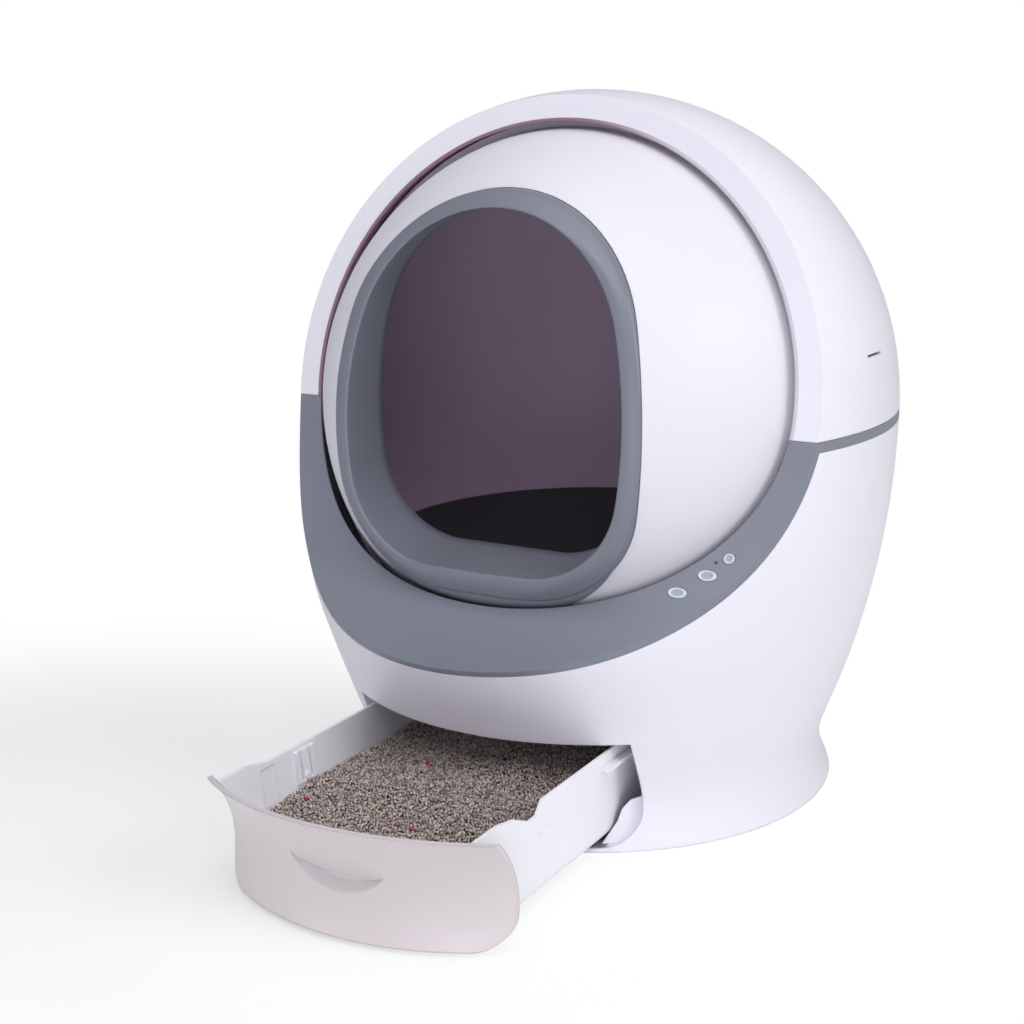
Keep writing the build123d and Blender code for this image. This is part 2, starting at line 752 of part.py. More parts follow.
def tunnel_form(grow=0.0):
    """Form of the entry tunnel, let out by grow."""
    side_radius = rim_side_radius - rim_half_width + lip_half_width
    with BuildPart() as form:
        loft([
            entry_face(-tunnel_front, grow, lip_top, lip_bottom, lip_half_width, side_radius,
                       lip_corner_radius),
            entry_face(-tunnel_end, grow, lip_top, lip_bottom + sill_rise,
                       lip_half_width - tunnel_narrowing, side_radius - tunnel_narrowing,
                       lip_corner_radius),
        ])
    return form.part


def behind_rim_face(depth=0.0):
    """Ball behind the entry rim's face; low down it stays near the drum."""
    with BuildPart() as excess:
        add(layer(-far, rim_step_height))
        add(drum_ball(rim_sphere_radius - depth), mode=Mode.SUBTRACT)
    with BuildPart() as ball:
        with Locations(rim_face_centre):
            Sphere(rim_face_radius - depth)
        add(excess.part, mode=Mode.SUBTRACT)
    return ball.part


# ---------------------------------------------------------------- entry rim
drum_inner = drum_radius - drum_wall
with BuildPart() as rim_skirt_ring:
    add(rim_prism())
    add(rim_prism(-rim_skirt), mode=Mode.SUBTRACT)
    add(drum_ball(drum_inner), mode=Mode.SUBTRACT)
    add(behind_rim_face(rim_plate / 2), mode=Mode.INTERSECT)
with BuildPart() as rim_flange:
    flange_face = entry_face(-tunnel_front - 2 * collar_thickness, 0, rim_top - rim_flange_drop,
                             rim_bottom - rim_flange_drop, rim_half_width - rim_flange_inset,
                             rim_side_radius, rim_corner_radius)
    extrude(flange_face, amount=tunnel_end, dir=(0, 1, 0))
    add(rim_prism(-rim_skirt / 2), mode=Mode.SUBTRACT)
    add(drum_ball(drum_radius + rim_flange_wall), mode=Mode.INTERSECT)
    add(drum_ball(drum_radius + thread_gap), mode=Mode.SUBTRACT)
with BuildPart() as entry_rim:
    add(rim_prism())
    add(behind_rim_face(rim_plate), mode=Mode.SUBTRACT)
    add(tunnel_form(tunnel_wall))
    add(behind_rim_face(), mode=Mode.INTERSECT)
    add(rim_skirt_ring.part)
    add(rim_flange.part)
    add(tunnel_form(), mode=Mode.SUBTRACT)
entry_rim.part.label = "entry_rim"
export_step(entry_rim.part, "parts/entry_rim.step")

# ---------------------------------------------------------------- drum shells
port_plane = Plane(drum_centre, x_dir=across, z_dir=(0, sin(radians(2 * lean)), cos(radians(2 * lean))))


def shell_band(outer, inner, start, end):
    """Part of a round shell, between two places along the drum's axis."""
    with BuildPart() as ring:
        with BuildSketch(meridian):
            Circle(outer)
            Circle(inner, mode=Mode.SUBTRACT)
            with Locations((0, start)):
                Rectangle(far, end - start, align=(Align.MIN, Align.MIN), mode=Mode.INTERSECT)
        revolve(axis=spin_axis)
    return ring.part


def track(radius, along, width, inner=drum_inner + drum_wall / 2):
    """Round track that stands out of the drum, about a place along its axis."""
    with BuildPart() as ring:
        with BuildSketch(drum_plane(along - width / 2)):
            Circle(radius)
            Circle(seat_inner_radius, mode=Mode.SUBTRACT)
        extrude(amount=width)
        add(drum_ball(inner), mode=Mode.SUBTRACT)
    return ring.part


seam_screw_plane = seam_plane + seam_band_reach / 2
seam_screw_places = [
    Plane(
        drum_point(seam_screw_plane, sphere_section(seam_screw_plane), angle), x_dir=drum_axis,
        z_dir=across * sin(radians(angle)) + drum_down * cos(radians(angle)),
    )
    for angle in seam_screw_angles
]
with BuildPart() as port_cut:
    with BuildSketch(port_plane.offset(screen_distance)):
        Circle(port_radius)
    extrude(amount=drum_radius - screen_distance + drum_wall)

with BuildPart() as drum_front_shell:
    add(shell_band(drum_radius, drum_inner, seam_plane, drum_radius))
    add(track(front_track_radius, front_roller_plane, track_width))
    add(rim_prism(fit_gap), mode=Mode.SUBTRACT)
    add(port_cut.part, mode=Mode.SUBTRACT)
    for place in seam_screw_places:
        with BuildSketch(place.offset(screw_radius)):
            Circle(seam_screw_head + fit_gap / 2)
        extrude(amount=-(screw_radius + drum_wall / 2), mode=Mode.SUBTRACT)
        with BuildSketch(place):
            Circle(seam_screw_radius + fit_gap / 2)
        extrude(amount=-2 * drum_wall, mode=Mode.SUBTRACT)
drum_front_shell.part.label = "drum_front_shell"
export_step(drum_front_shell.part, "parts/drum_front_shell.step")

band_outer = drum_inner - fit_gap
with BuildPart() as drum_rear_shell:
    add(shell_band(drum_radius, drum_inner, -drum_radius, seam_plane))
    add(shell_band(band_outer, band_outer - seam_band_wall, seam_plane - seam_band_reach,
                   seam_plane + seam_band_reach))
    add(shell_band(drum_inner + drum_wall / 2, band_outer - seam_band_wall, seam_plane - seam_band_reach,
                   seam_plane - seam_band_reach / 2))
    add(track(rear_track_radius, rear_roller_plane, track_width))
    add(track(ring_inner_radius - fit_gap, ring_plane, gear_width))
    add(port_cut.part, mode=Mode.SUBTRACT)
    for place in seam_screw_places:
        with BuildSketch(place):
            Circle(seam_screw_radius + thread_gap)
        extrude(amount=-2 * drum_wall, mode=Mode.SUBTRACT)
drum_rear_shell.part.label = "drum_rear_shell"
export_step(drum_rear_shell.part, "parts/drum_rear_shell.step")

with BuildPart() as drum_screws:
    for place in seam_screw_places:
        with BuildSketch(place):
            Circle(seam_screw_head)
        extrude(amount=-drum_wall / 2)
        with BuildSketch(place):
            Circle(seam_screw_radius)
        extrude(amount=-(drum_wall + fit_gap + seam_band_wall / 2))
drum_screws.part.label = "drum_screws"
export_step(drum_screws.part, "parts/drum_screws.step")

# ---------------------------------------------------------------- litter mat and sieve
mat_outer = band_outer - seam_band_wall - fit_gap
with BuildPart() as litter_liner:
    add(drum_ball(mat_outer))
    add(drum_ball(mat_outer - liner_wall), mode=Mode.SUBTRACT)
    add(layer(liner_height, 2 * far), mode=Mode.SUBTRACT)
litter_liner.part.label = "litter_liner"
export_step(litter_liner.part, "parts/litter_liner.step")

screen_direction = drum_down * cos(radians(screen_angle)) + across * sin(radians(screen_angle))
screen_plane = Plane(origin=drum_centre + screen_direction * screen_distance, x_dir=drum_axis,
                     z_dir=screen_direction)
screen_reach = sqrt(mat_outer**2 - (screen_distance + screen_wall) ** 2)
with BuildPart() as sifting_screen:
    with BuildSketch(screen_plane):
        Circle(screen_reach)
    extrude(amount=screen_wall)
    with BuildSketch(screen_plane):
        for row in range(-9, 10):
            half_chord = sqrt((screen_reach - screen_border) ** 2 - (row * screen_pitch) ** 2)
            slot = half_chord - screen_border / 2
            for side in (-1, 1):
                with Locations((row * screen_pitch, side * (half_chord + screen_border / 2) / 2)):
                    SlotOverall(slot, screen_slot, rotation=90)
    extrude(amount=screen_wall, mode=Mode.SUBTRACT)
sifting_screen.part.label = "sifting_screen"
export_step(sifting_screen.part, "parts/sifting_screen.step")

# ---------------------------------------------------------------- gear drive
def gear_points(teeth, turn):
    """Outline of a gear with straight-sided teeth; one tooth stands at angle turn, in degrees."""
    half_tooth = tooth_share * pi * gear_module / 2
    points = []
    for tooth in range(teeth):
        middle = radians(turn) + 2 * pi * tooth / teeth
        for side, outwards in ((-1, -1.25), (-1, 1.0), (1, 1.0), (1, -1.25)):
            radius = gear_module * (teeth / 2 + outwards)
            half_width = half_tooth - outwards * gear_module * tan(radians(20))
            angle = middle + side * half_width / radius
            points.append((radius * cos(angle), radius * sin(angle)))
    return points


mesh_turn = 90 + pinion_angle
mesh_distance = gear_module * (ring_teeth + pinion_teeth) / 2 + mesh_gap
gear_back = ring_plane - gear_width / 2


def drive_plane(along):
    """Plane square to the pinion's axis, at a place along the drum's axis."""
    return Plane(origin=drum_point(along, mesh_distance, pinion_angle), x_dir=across * -1, z_dir=drum_axis)


with BuildPart() as drive_ring:
    with BuildSketch(drum_plane(gear_back)):
        with BuildLine():
            Polyline(*gear_points(ring_teeth, mesh_turn), close=True)
        make_face()
        Circle(ring_inner_radius, mode=Mode.SUBTRACT)
    extrude(amount=gear_width)
drive_ring.part.label = "drive_ring"
export_step(drive_ring.part, "parts/drive_ring.step")

with BuildPart() as drive_pinion:
    with BuildSketch(drive_plane(gear_back)):
        with BuildLine():
            Polyline(*gear_points(pinion_teeth, mesh_turn + 180 + 180 / pinion_teeth), close=True)
        make_face()
        Circle(shaft_radius + shaft_gap, mode=Mode.SUBTRACT)
    extrude(amount=gear_width)
drive_pinion.part.label = "drive_pinion"
export_step(drive_pinion.part, "parts/drive_pinion.step")

bracket_front = gear_back - bracket_wall
bracket_back = bracket_front - bracket_wall
bracket_foot = drive_plane(bracket_back).origin
bracket_sink = (bracket_foot.Z - deck_top) * lean_sin / lean_cos
with BuildPart() as motor_bracket:
    with BuildSketch(drive_plane(bracket_back)):
        Circle(bracket_width / 2)
        Rectangle(bracket_width, 3 * bracket_width, align=(Align.CENTER, Align.MIN))
        Circle(shaft_radius + 4 * fit_gap, mode=Mode.SUBTRACT)
    extrude(amount=bracket_wall)
    with Locations((bracket_foot.X, bracket_foot.Y - bracket_sink - bracket_wall / 2, deck_top)):
        Box(bracket_width, foot_width, foot_height, align=(Align.CENTER, Align.MIN, Align.MIN))
    add(layer(-far, deck_top), mode=Mode.SUBTRACT)
motor_bracket.part.label = "motor_bracket"
export_step(motor_bracket.part, "parts/motor_bracket.step")

with BuildPart() as gear_motor:
    with BuildSketch(drive_plane(bracket_back)):
        Circle(gearbox_radius)
    extrude(amount=-gearbox_length)
    with BuildSketch(drive_plane(bracket_back - gearbox_length)):
        Circle(motor_radius)
    extrude(amount=-motor_length)
    with BuildSketch(drive_plane(bracket_back)):
        Circle(shaft_radius)
    extrude(amount=gear_back + gear_width + bracket_wall / 2 - bracket_back)
gear_motor.part.label = "gear_motor"
export_step(gear_motor.part, "parts/gear_motor.step")

# ---------------------------------------------------------------- rollers, axles and stands
roller_places = []
for end, along, angle, track_radius in (
    ("front", front_roller_plane, front_roller_angle, front_track_radius),
    ("rear", rear_roller_plane, rear_roller_angle, rear_track_radius),
):
    for name, side in (("left", -1), ("right", 1)):
        middle = drum_point(along, track_radius + roller_radius + roller_gap, side * angle)
        roller_places.append((end, name, Plane(origin=middle, x_dir=across * -1, z_dir=drum_axis)))

for end, name, middle in roller_places:
    with BuildPart() as roller:
        with BuildSketch(middle.offset(-roller_width / 2)):
            Circle(roller_radius)
            Circle(axle_radius + axle_gap, mode=Mode.SUBTRACT)
        extrude(amount=roller_width)
    roller.part.label = "roller_" + end + "_" + name
    export_step(roller.part, "parts/roller_" + end + "_" + name + ".step")

ear_start = roller_width / 2 + ear_gap
axle_half = ear_start + ear_wall
with BuildPart() as roller_axles:
    for end, name, middle in roller_places:
        with BuildSketch(middle.offset(-axle_half)):
            Circle(axle_radius)
        extrude(amount=2 * axle_half)
roller_axles.part.label = "roller_axles"
export_step(roller_axles.part, "parts/roller_axles.step")

for stand_end in ("front", "rear"):
    with BuildPart() as stands:
        for end, name, middle in roller_places:
            if end == stand_end:
                for start in (-axle_half, ear_start):
                    with BuildSketch(middle.offset(start)):
                        Circle(ear_radius)
                        Rectangle(2 * ear_radius, far / 4, align=(Align.CENTER, Align.MIN))
                        Circle(axle_radius + thread_gap, mode=Mode.SUBTRACT)
                    extrude(amount=ear_wall)
                sink = (middle.origin.Z - deck_top) * lean_sin / lean_cos
                with Locations((middle.origin.X, middle.origin.Y - sink, deck_top)):
                    Box(foot_width, foot_length, foot_height, align=(Align.CENTER, Align.CENTER, Align.MIN))
        add(layer(-far, deck_top), mode=Mode.SUBTRACT)
    stands.part.label = stand_end + "_roller_stands"
    export_step(stands.part, "parts/" + stand_end + "_roller_stands.step")

# ---------------------------------------------------------------- drawer front
def scoop_form(grow=0.0):
    """Form of the handle's scoop, let out by grow: an oval ledge, and a back that runs out at its top."""
    face_y = -drawer_out - panel_reach(scoop_crease)
    back_y = face_y + scoop_depth + grow
    run = panel_reach(scoop_top) - panel_reach(scoop_crease) + scoop_depth
    rise = scoop_top - scoop_crease
    middle = (scoop_top + scoop_bottom) / 2
    with BuildPart() as form:
        with BuildSketch(Plane.XZ.offset(-face_y + scoop_depth)):
            with Locations((scoop_offset, middle - scoop_depth * tan(radians(scoop_rise)))):
                Ellipse(scoop_half_width + grow, (scoop_top - scoop_bottom) / 2 + grow)
        extrude(amount=far / 4, dir=(0, cos(radians(scoop_rise)), sin(radians(scoop_rise))))
        with BuildSketch(Plane.YZ.offset(scoop_offset)):
            with BuildLine():
                Polyline(
                    (back_y - 2 * run, scoop_crease - grow + 2 * rise), (back_y, scoop_crease - grow),
                    (back_y, 0), (back_y + far, 0), (back_y + far, far), (back_y - 2 * run, far), close=True,
                )
            make_face()
        extrude(amount=far, both=True, mode=Mode.SUBTRACT)
    return form.part


fixing_heights = (30.0, 50.0)
fixing_x = 94.0
fixing_margin = 7.0           # of tab round its screws
tab_wall = 2.4
fixing_turn = degrees(atan2(fixing_x, sqrt(panel_radius**2 - fixing_x**2)))
fixing_inset = panel_wall + fit_gap + tab_wall


def fixing_plane(side, height):
    """Plane on the inside of the drawer front's tabs, square to their slope, where a screw goes in."""
    slope = asin((height - waist_height) / (panel_hollow_radius + fixing_inset))
    outwards = Vector(side * sin(radians(fixing_turn)), -cos(radians(fixing_turn)), 0)
    place = outwards * (panel_reach(height, fixing_inset) - fit_gap / 3) + Vector(0, 0, height)
    return Plane(origin=panel_origin + place, x_dir=across * cos(radians(fixing_turn))
                 + Vector(0, side * sin(radians(fixing_turn)), 0),
                 z_dir=outwards * cos(slope) - Vector(0, 0, sin(slope)))


fixing_planes = [fixing_plane(side, height) for side in (-1, 1) for height in fixing_heights]
with BuildPart() as panel_outline:
    with BuildSketch(Plane.XZ.offset(drawer_out)) as outline:
        with BuildLine():
            Polyline((-panel_half_width, panel_corner_height), (-panel_half_width, panel_bottom),
                     (panel_half_width, panel_bottom), (panel_half_width, panel_corner_height))
            ThreePointArc((-panel_half_width, panel_corner_height), (0, panel_top),
                          (panel_half_width, panel_corner_height))
        make_face()
        fillet(outline.vertices().group_by(Axis.Y)[0], panel_corner_radius)
    extrude(amount=far)
with BuildPart() as drawer_front:
    add(panel_form())
    add(panel_form(panel_wall), mode=Mode.SUBTRACT)
    add(scoop_form(scoop_wall))
    add(panel_form(), mode=Mode.INTERSECT)
    add(panel_outline.part, mode=Mode.INTERSECT)
    add(scoop_form(), mode=Mode.SUBTRACT)
    for plane in fixing_planes:
        with BuildSketch(plane):
            Circle(seam_screw_radius + thread_gap)
        extrude(amount=tab_wall + fit_gap + panel_wall - 2 * fit_gap, mode=Mode.SUBTRACT)
drawer_front.part.label = "drawer_front"
export_step(drawer_front.part, "parts/drawer_front.step")

with BuildPart() as drawer_front_screws:
    for plane in fixing_planes:
        with BuildSketch(plane):
            Circle(seam_screw_head)
        extrude(amount=-screw_radius)
        with BuildSketch(plane):
            Circle(seam_screw_radius)
        extrude(amount=tab_wall + fit_gap + panel_wall - 3 * fit_gap)
drawer_front_screws.part.label = "drawer_front_screws"
export_step(drawer_front_screws.part, "parts/drawer_front_screws.step")

# ---------------------------------------------------------------- drawer tub
tub_back = tub_rear - drawer_out
tub_front = -2 * drawer_out - far / 10


def tub_half(height):
    """Half width of the tub's outside at a height."""
    share = (height - tub_bottom) / (tub_side_top - tub_bottom)
    return tub_floor_half + (tub_top_half - tub_floor_half) * share


def tub_block(inset, back, front):
    """Prism of the tub's section between two places along Y, drawn in by inset."""
    low, high = tub_bottom + inset, tub_side_top + inset
    with BuildPart() as block:
        with BuildSketch(Plane.XZ.offset(-back)) as section:
            with BuildLine():
                Polyline(
                    (-tub_half(low) + inset, low), (tub_half(low) - inset, low),
                    (tub_half(high) - inset, high), (-tub_half(high) + inset, high), close=True,
                )
            make_face()
            fillet(section.vertices().group_by(Axis.Y)[0], tub_floor_radius - inset)
        extrude(amount=back - front)
    return block.part


def wall_strip(side, start, end, low, high, back, front):
    """Strip along the tub's side wall, from start to end inside its outer face."""
    with BuildPart() as strip:
        with BuildSketch(Plane.XZ.offset(-back)):
            with BuildLine():
                Polyline(
                    (side * (tub_half(low) - start), low), (side * (tub_half(low) - end), low),
                    (side * (tub_half(high) - end), high), (side * (tub_half(high) - start), high),
                    close=True,
                )
            make_face()
        extrude(amount=back - front)
    return strip.part


draft = atan2(tub_top_half - tub_floor_half, tub_side_top - tub_bottom)
rivet_planes = [
    Plane(origin=(side * tub_half(rivet_height), -clip_centre, rivet_height), x_dir=(0, 1, 0),
          z_dir=(side * cos(draft), 0, -sin(draft)))
    for side in (-1, 1)
]
with BuildPart() as tub_front_wall:
    with BuildSketch(Plane(origin=panel_origin)):
        Circle(tub_front_radius)
        Circle(tub_front_radius - tub_wall, mode=Mode.SUBTRACT)
        Rectangle(far, far, align=(Align.CENTER, Align.MIN), mode=Mode.SUBTRACT)
    extrude(amount=tub_front_top)
with BuildPart() as tub_space:
    add(tub_block(tub_wall, tub_back - tub_wall, tub_front))
    add(tub_front_wall.part, mode=Mode.SUBTRACT)
with BuildPart() as fixing_tabs:
    add(panel_form(panel_wall + fit_gap))
    add(panel_form(panel_wall + fit_gap + tab_wall), mode=Mode.SUBTRACT)
    add(tub_block(0, tub_back, tub_front), mode=Mode.INTERSECT)
    with BuildSketch(Plane.XZ.offset(drawer_out)):
        with Locations(*[(side * (fixing_x + fixing_margin), sum(fixing_heights) / 2) for side in (-1, 1)]):
            Rectangle(4 * fixing_margin, fixing_heights[1] - fixing_heights[0] + 2 * fixing_margin)
    extrude(amount=far, mode=Mode.INTERSECT)
with BuildPart() as drawer_tub:
    add(tub_block(0, tub_back, tub_front))
    add(tub_space.part, mode=Mode.SUBTRACT)
    add(panel_form(panel_wall + fit_gap), mode=Mode.INTERSECT)
    add(fixing_tabs.part)
    with BuildSketch(Plane.YZ):
        with BuildLine():
            Polyline((-ramp_front, tub_side_top), (-ramp_back, tub_back_top), (far, tub_back_top),
                     (far, far), (-ramp_front, far), close=True)
        make_face()
    extrude(amount=far, both=True, mode=Mode.SUBTRACT)
    with BuildSketch(Plane.YZ):
        with BuildLine():
            Polyline((-notch_front, tub_back_top), (-notch_low_front, tub_back_top - notch_depth),
                     (-notch_low_back, tub_back_top - notch_depth), (-notch_back, tub_back_top),
                     (-notch_back, far), (-notch_front, far), close=True)
        make_face()
    extrude(amount=far, mode=Mode.SUBTRACT)
    add(wall_strip(-1, tub_wall + 1, tub_wall - groove_depth, groove_bottom, clip_tops[0],
                   -groove_back, -groove_front), mode=Mode.SUBTRACT)
    for side in (-1, 1):
        with BuildSketch(Plane.XZ.offset(-tub_back)):
            with BuildLine():
                Polyline(
                    (side * (tub_half(runner_bottom) - tub_wall / 2), runner_bottom),
                    (side * runner_reach, runner_bottom),
                    (side * runner_reach, runner_bottom + runner_thickness),
                    (side * (tub_half(runner_bottom) - tub_wall / 2), runner_bottom + runner_thickness),
                    close=True,
                )
            make_face()
        extrude(amount=tub_back + runner_front)
    for plane in rivet_planes:
        with BuildSketch(plane.offset(tub_wall)):
            Circle(rivet_radius + thread_gap)
        extrude(amount=-3 * tub_wall, mode=Mode.SUBTRACT)
    for plane in fixing_planes:
        with BuildSketch(plane.offset(-tab_wall)):
            Circle(seam_screw_radius + fit_gap / 2)
        extrude(amount=2 * tab_wall + fit_gap, mode=Mode.SUBTRACT)
drawer_tub.part.label = "drawer_tub"
export_step(drawer_tub.part, "parts/drawer_tub.step")

# ---------------------------------------------------------------- liner-bag clips and their rivets
clip_back, clip_front = -clip_centre + clip_width / 2, -clip_centre - clip_width / 2
for name, side, top, plane in zip(("left", "right"), (-1, 1), clip_tops, rivet_planes):
    with BuildPart() as clip:
        add(wall_strip(side, tub_wall + thread_gap, tub_wall + clip_wall, clip_bottom, top, clip_back,
                       clip_front))
        for place in (-clip_slot_place, clip_slot_place):
            add(wall_strip(side, 0, tub_wall + 2 * clip_wall, rivet_height - rivet_radius, far,
                           -clip_centre + place + clip_slot / 2, -clip_centre + place - clip_slot / 2),
                mode=Mode.SUBTRACT)
        with BuildSketch(plane):
            Circle(rivet_radius + thread_gap)
        extrude(amount=-3 * tub_wall, mode=Mode.SUBTRACT)
    clip.part.label = "bag_clip_" + name
    export_step(clip.part, "parts/bag_clip_" + name + ".step")

with BuildPart() as clip_rivets:
    for plane in rivet_planes:
        with BuildSketch(plane):
            Circle(rivet_head_radius)
        extrude(amount=rivet_head)
        with BuildSketch(plane):
            Circle(rivet_radius)
        extrude(amount=-(tub_wall + clip_wall + rivet_head))
        with BuildSketch(plane.offset(-tub_wall - clip_wall)):
            Circle(rivet_radius + rivet_head)
        extrude(amount=-rivet_head)
clip_rivets.part.label = "clip_rivets"
export_step(clip_rivets.part, "parts/clip_rivets.step")

# ---------------------------------------------------------------- litter in the drawer
litter_bow = ((tub_rear + drawer_out) / 2) ** 2 / (2 * (litter_crown - litter_edge))
with BuildPart() as litter_fill:
    add(tub_block(tub_wall + fit_gap, tub_back - tub_wall - fit_gap, tub_front))
    with Locations(panel_origin):
        Cylinder(tub_front_radius - tub_wall - fit_gap, far, mode=Mode.INTERSECT)
    with Locations((0, (tub_back - drawer_out - tub_front_radius) / 2, litter_crown - litter_bow)):
        Sphere(litter_bow, mode=Mode.INTERSECT)
litter_fill.part.label = "litter_fill"
export_step(litter_fill.part, "parts/litter_fill.step")
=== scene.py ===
# %% [markdown]
# # A globe litter box, dressed from its CAD model
#
# The box is a round cover over a turning drum, on a waisted housing with a pull-out drawer.
# The CAD model gives every hard piece its size and place. This script gives the pieces their
# finishes, and models the things that a solid can't show well: loose litter, a soft-edged rim,
# and buttons with a raised ring.
#
# Each cell does one thing, so that it can be run and looked at by itself.

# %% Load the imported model
import json
import math

import bpy
import numpy as np
from mathutils import Matrix, Vector, kdtree, noise


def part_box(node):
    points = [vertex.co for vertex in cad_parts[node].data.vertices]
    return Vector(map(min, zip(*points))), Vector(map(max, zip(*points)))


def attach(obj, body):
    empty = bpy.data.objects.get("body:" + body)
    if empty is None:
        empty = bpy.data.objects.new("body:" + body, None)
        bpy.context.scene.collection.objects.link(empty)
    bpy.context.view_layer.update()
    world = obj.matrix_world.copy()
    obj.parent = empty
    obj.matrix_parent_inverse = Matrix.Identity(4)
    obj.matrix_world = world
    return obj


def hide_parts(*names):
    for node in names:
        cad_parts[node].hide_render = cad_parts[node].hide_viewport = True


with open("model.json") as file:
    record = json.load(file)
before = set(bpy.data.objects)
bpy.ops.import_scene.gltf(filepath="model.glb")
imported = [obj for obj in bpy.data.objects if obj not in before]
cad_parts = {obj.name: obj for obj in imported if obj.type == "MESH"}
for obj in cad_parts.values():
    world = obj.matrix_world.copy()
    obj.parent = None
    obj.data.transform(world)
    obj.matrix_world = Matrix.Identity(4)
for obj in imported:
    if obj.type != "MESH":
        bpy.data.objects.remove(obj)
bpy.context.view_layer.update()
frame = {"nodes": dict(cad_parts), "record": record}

# %% [markdown]
# ## Sizes that the scene shares with the model
#
# The model is in metres here, and MM turns millimetres into them. These are the few sizes that
# several new pieces need: the drum is a ball, the drum's axis leans back by twelve degrees, the
# collar under the opening sweeps forward on one large arc, and the drawer's round front has its
# own axis in front of the drum.

# %% Shared sizes
MM = 0.001
centre_height = 341.0  # of the drum, in mm
drum_centre = Vector((0.0, 0.0, centre_height * MM))
lean = math.radians(12)
fascia_arc_radius = 243.4 * MM
fascia_arc_start = (-102.5 + 15.7 * math.tan(lean)) * MM, 356.7 * MM
fascia_centre = (
    fascia_arc_start[0] - fascia_arc_radius * math.cos(lean),
    fascia_arc_start[1] + fascia_arc_radius * math.sin(lean),
)
drawer_axis_y = -208 * MM
print("centre of the collar's sweep", [round(v, 4) for v in fascia_centre])

# %% [markdown]
# ## The camera
#
# The photograph was taken from the front right, a little above the opening. A long lens keeps
# the ball round. The direction is built from three turns, and the place was found by fitting
# the round outlines, so the camera has no aim point: its three axes are given as a matrix.

# %% Camera
view_yaw, view_pitch, view_roll = 0.528, 0.244, -0.012
camera_place = Vector((0.6979, -1.3437, 0.6120))
focal_pixels, frame_pixels, sensor_width = 1700.0, 1024.0, 36.0

level_right = Vector((math.cos(view_yaw), math.sin(view_yaw), 0.0))
forward = Vector((
    -math.sin(view_yaw) * math.cos(view_pitch),
    math.cos(view_yaw) * math.cos(view_pitch),
    -math.sin(view_pitch),
))
level_up = level_right.cross(forward)
right = math.cos(view_roll) * level_right + math.sin(view_roll) * level_up
up = math.cos(view_roll) * level_up - math.sin(view_roll) * level_right

camera_data = bpy.data.cameras.new("camera")
camera_data.sensor_width = sensor_width
camera_data.lens = focal_pixels / frame_pixels * sensor_width
camera_data.clip_end = 50.0
camera = bpy.data.objects.new("camera", camera_data)
camera.matrix_world = Matrix((
    (right.x, up.x, -forward.x, camera_place.x),
    (right.y, up.y, -forward.y, camera_place.y),
    (right.z, up.z, -forward.z, camera_place.z),
    (0, 0, 0, 1),
))
bpy.context.scene.collection.objects.link(camera)
bpy.context.scene.camera = camera
bpy.context.scene.view_settings.view_transform = "Standard"
print("lens", round(camera_data.lens, 2), "mm")

# %% [markdown]
# ## Floor, world and lamps
#
# The picture has a white ground with one faint shadow. White that comes from more light would
# bleach the white shell, so the ground gets its white from what only the camera sees: the world
# is plain white for camera rays, and so is a share of the floor's shader. That share grows with
# the distance from the middle of the shadow, which lies to the front left, until the floor is all
# white. That hides the horizon. Nearer in, the rest of the shader still takes the shadow.


# %% Small helpers for shader nodes
def node(tree, kind, place, **values):
    """Adds a shader node at a place on the sheet and sets its properties."""
    made = tree.nodes.new(kind)
    made.location = place
    for name, value in values.items():
        setattr(made, name, value)
    return made


def link(tree, *pairs):
    """Joins each pair of sockets, output first."""
    for output, entry in pairs:
        tree.links.new(output, entry)


def ramp(tree, place, start, end, low, high):
    """A node that goes smoothly from low to high while its input goes from start to end."""
    made = node(tree, "ShaderNodeMapRange", place, interpolation_type="SMOOTHSTEP")
    made.inputs["From Min"].default_value = start
    made.inputs["From Max"].default_value = end
    made.inputs["To Min"].default_value = low
    made.inputs["To Max"].default_value = high
    return made


def new_material(name):
    """An empty material with its output node."""
    material = bpy.data.materials.new(name)
    material.use_nodes = True
    material.node_tree.nodes.clear()
    output = node(material.node_tree, "ShaderNodeOutputMaterial", (600, 0))
    return material, material.node_tree, output


# %% World
world = bpy.data.worlds.new("studio")
world.use_nodes = True
bpy.context.scene.world = world
sky = world.node_tree
sky.nodes.clear()
sky_output = node(sky, "ShaderNodeOutputWorld", (600, 0))
sky_mix = node(sky, "ShaderNodeMixShader", (400, 0))
sky_rays = node(sky, "ShaderNodeLightPath", (0, 200))
sky_seen = node(sky, "ShaderNodeMath", (200, 200), operation="MAXIMUM")
ambient = node(sky, "ShaderNodeBackground", (0, -50))
ambient.inputs["Color"].default_value = (0.93, 0.94, 1.0, 1)
ambient.inputs["Strength"].default_value = 0.32
backdrop = node(sky, "ShaderNodeBackground", (0, -200))
backdrop.inputs["Color"].default_value = (1, 1, 1, 1)
backdrop.inputs["Strength"].default_value = 1.0
link(
    sky,
    (sky_rays.outputs["Is Camera Ray"], sky_seen.inputs[0]),
    (sky_rays.outputs["Is Transmission Ray"], sky_seen.inputs[1]),
    (sky_seen.outputs[0], sky_mix.inputs["Fac"]),
    (ambient.outputs[0], sky_mix.inputs[1]),
    (backdrop.outputs[0], sky_mix.inputs[2]),
    (sky_mix.outputs[0], sky_output.inputs["Surface"]),
)

# %% Floor
floor_half = 12.0
floor_sink = 0.0002  # so far below the part's underside
shadow_middle = (-0.34, -0.38, 0)
shadow_inner, shadow_outer = 0.15, 0.62  # the white grows between these distances from there
shadow_white = 0.34  # the share of white inside the first

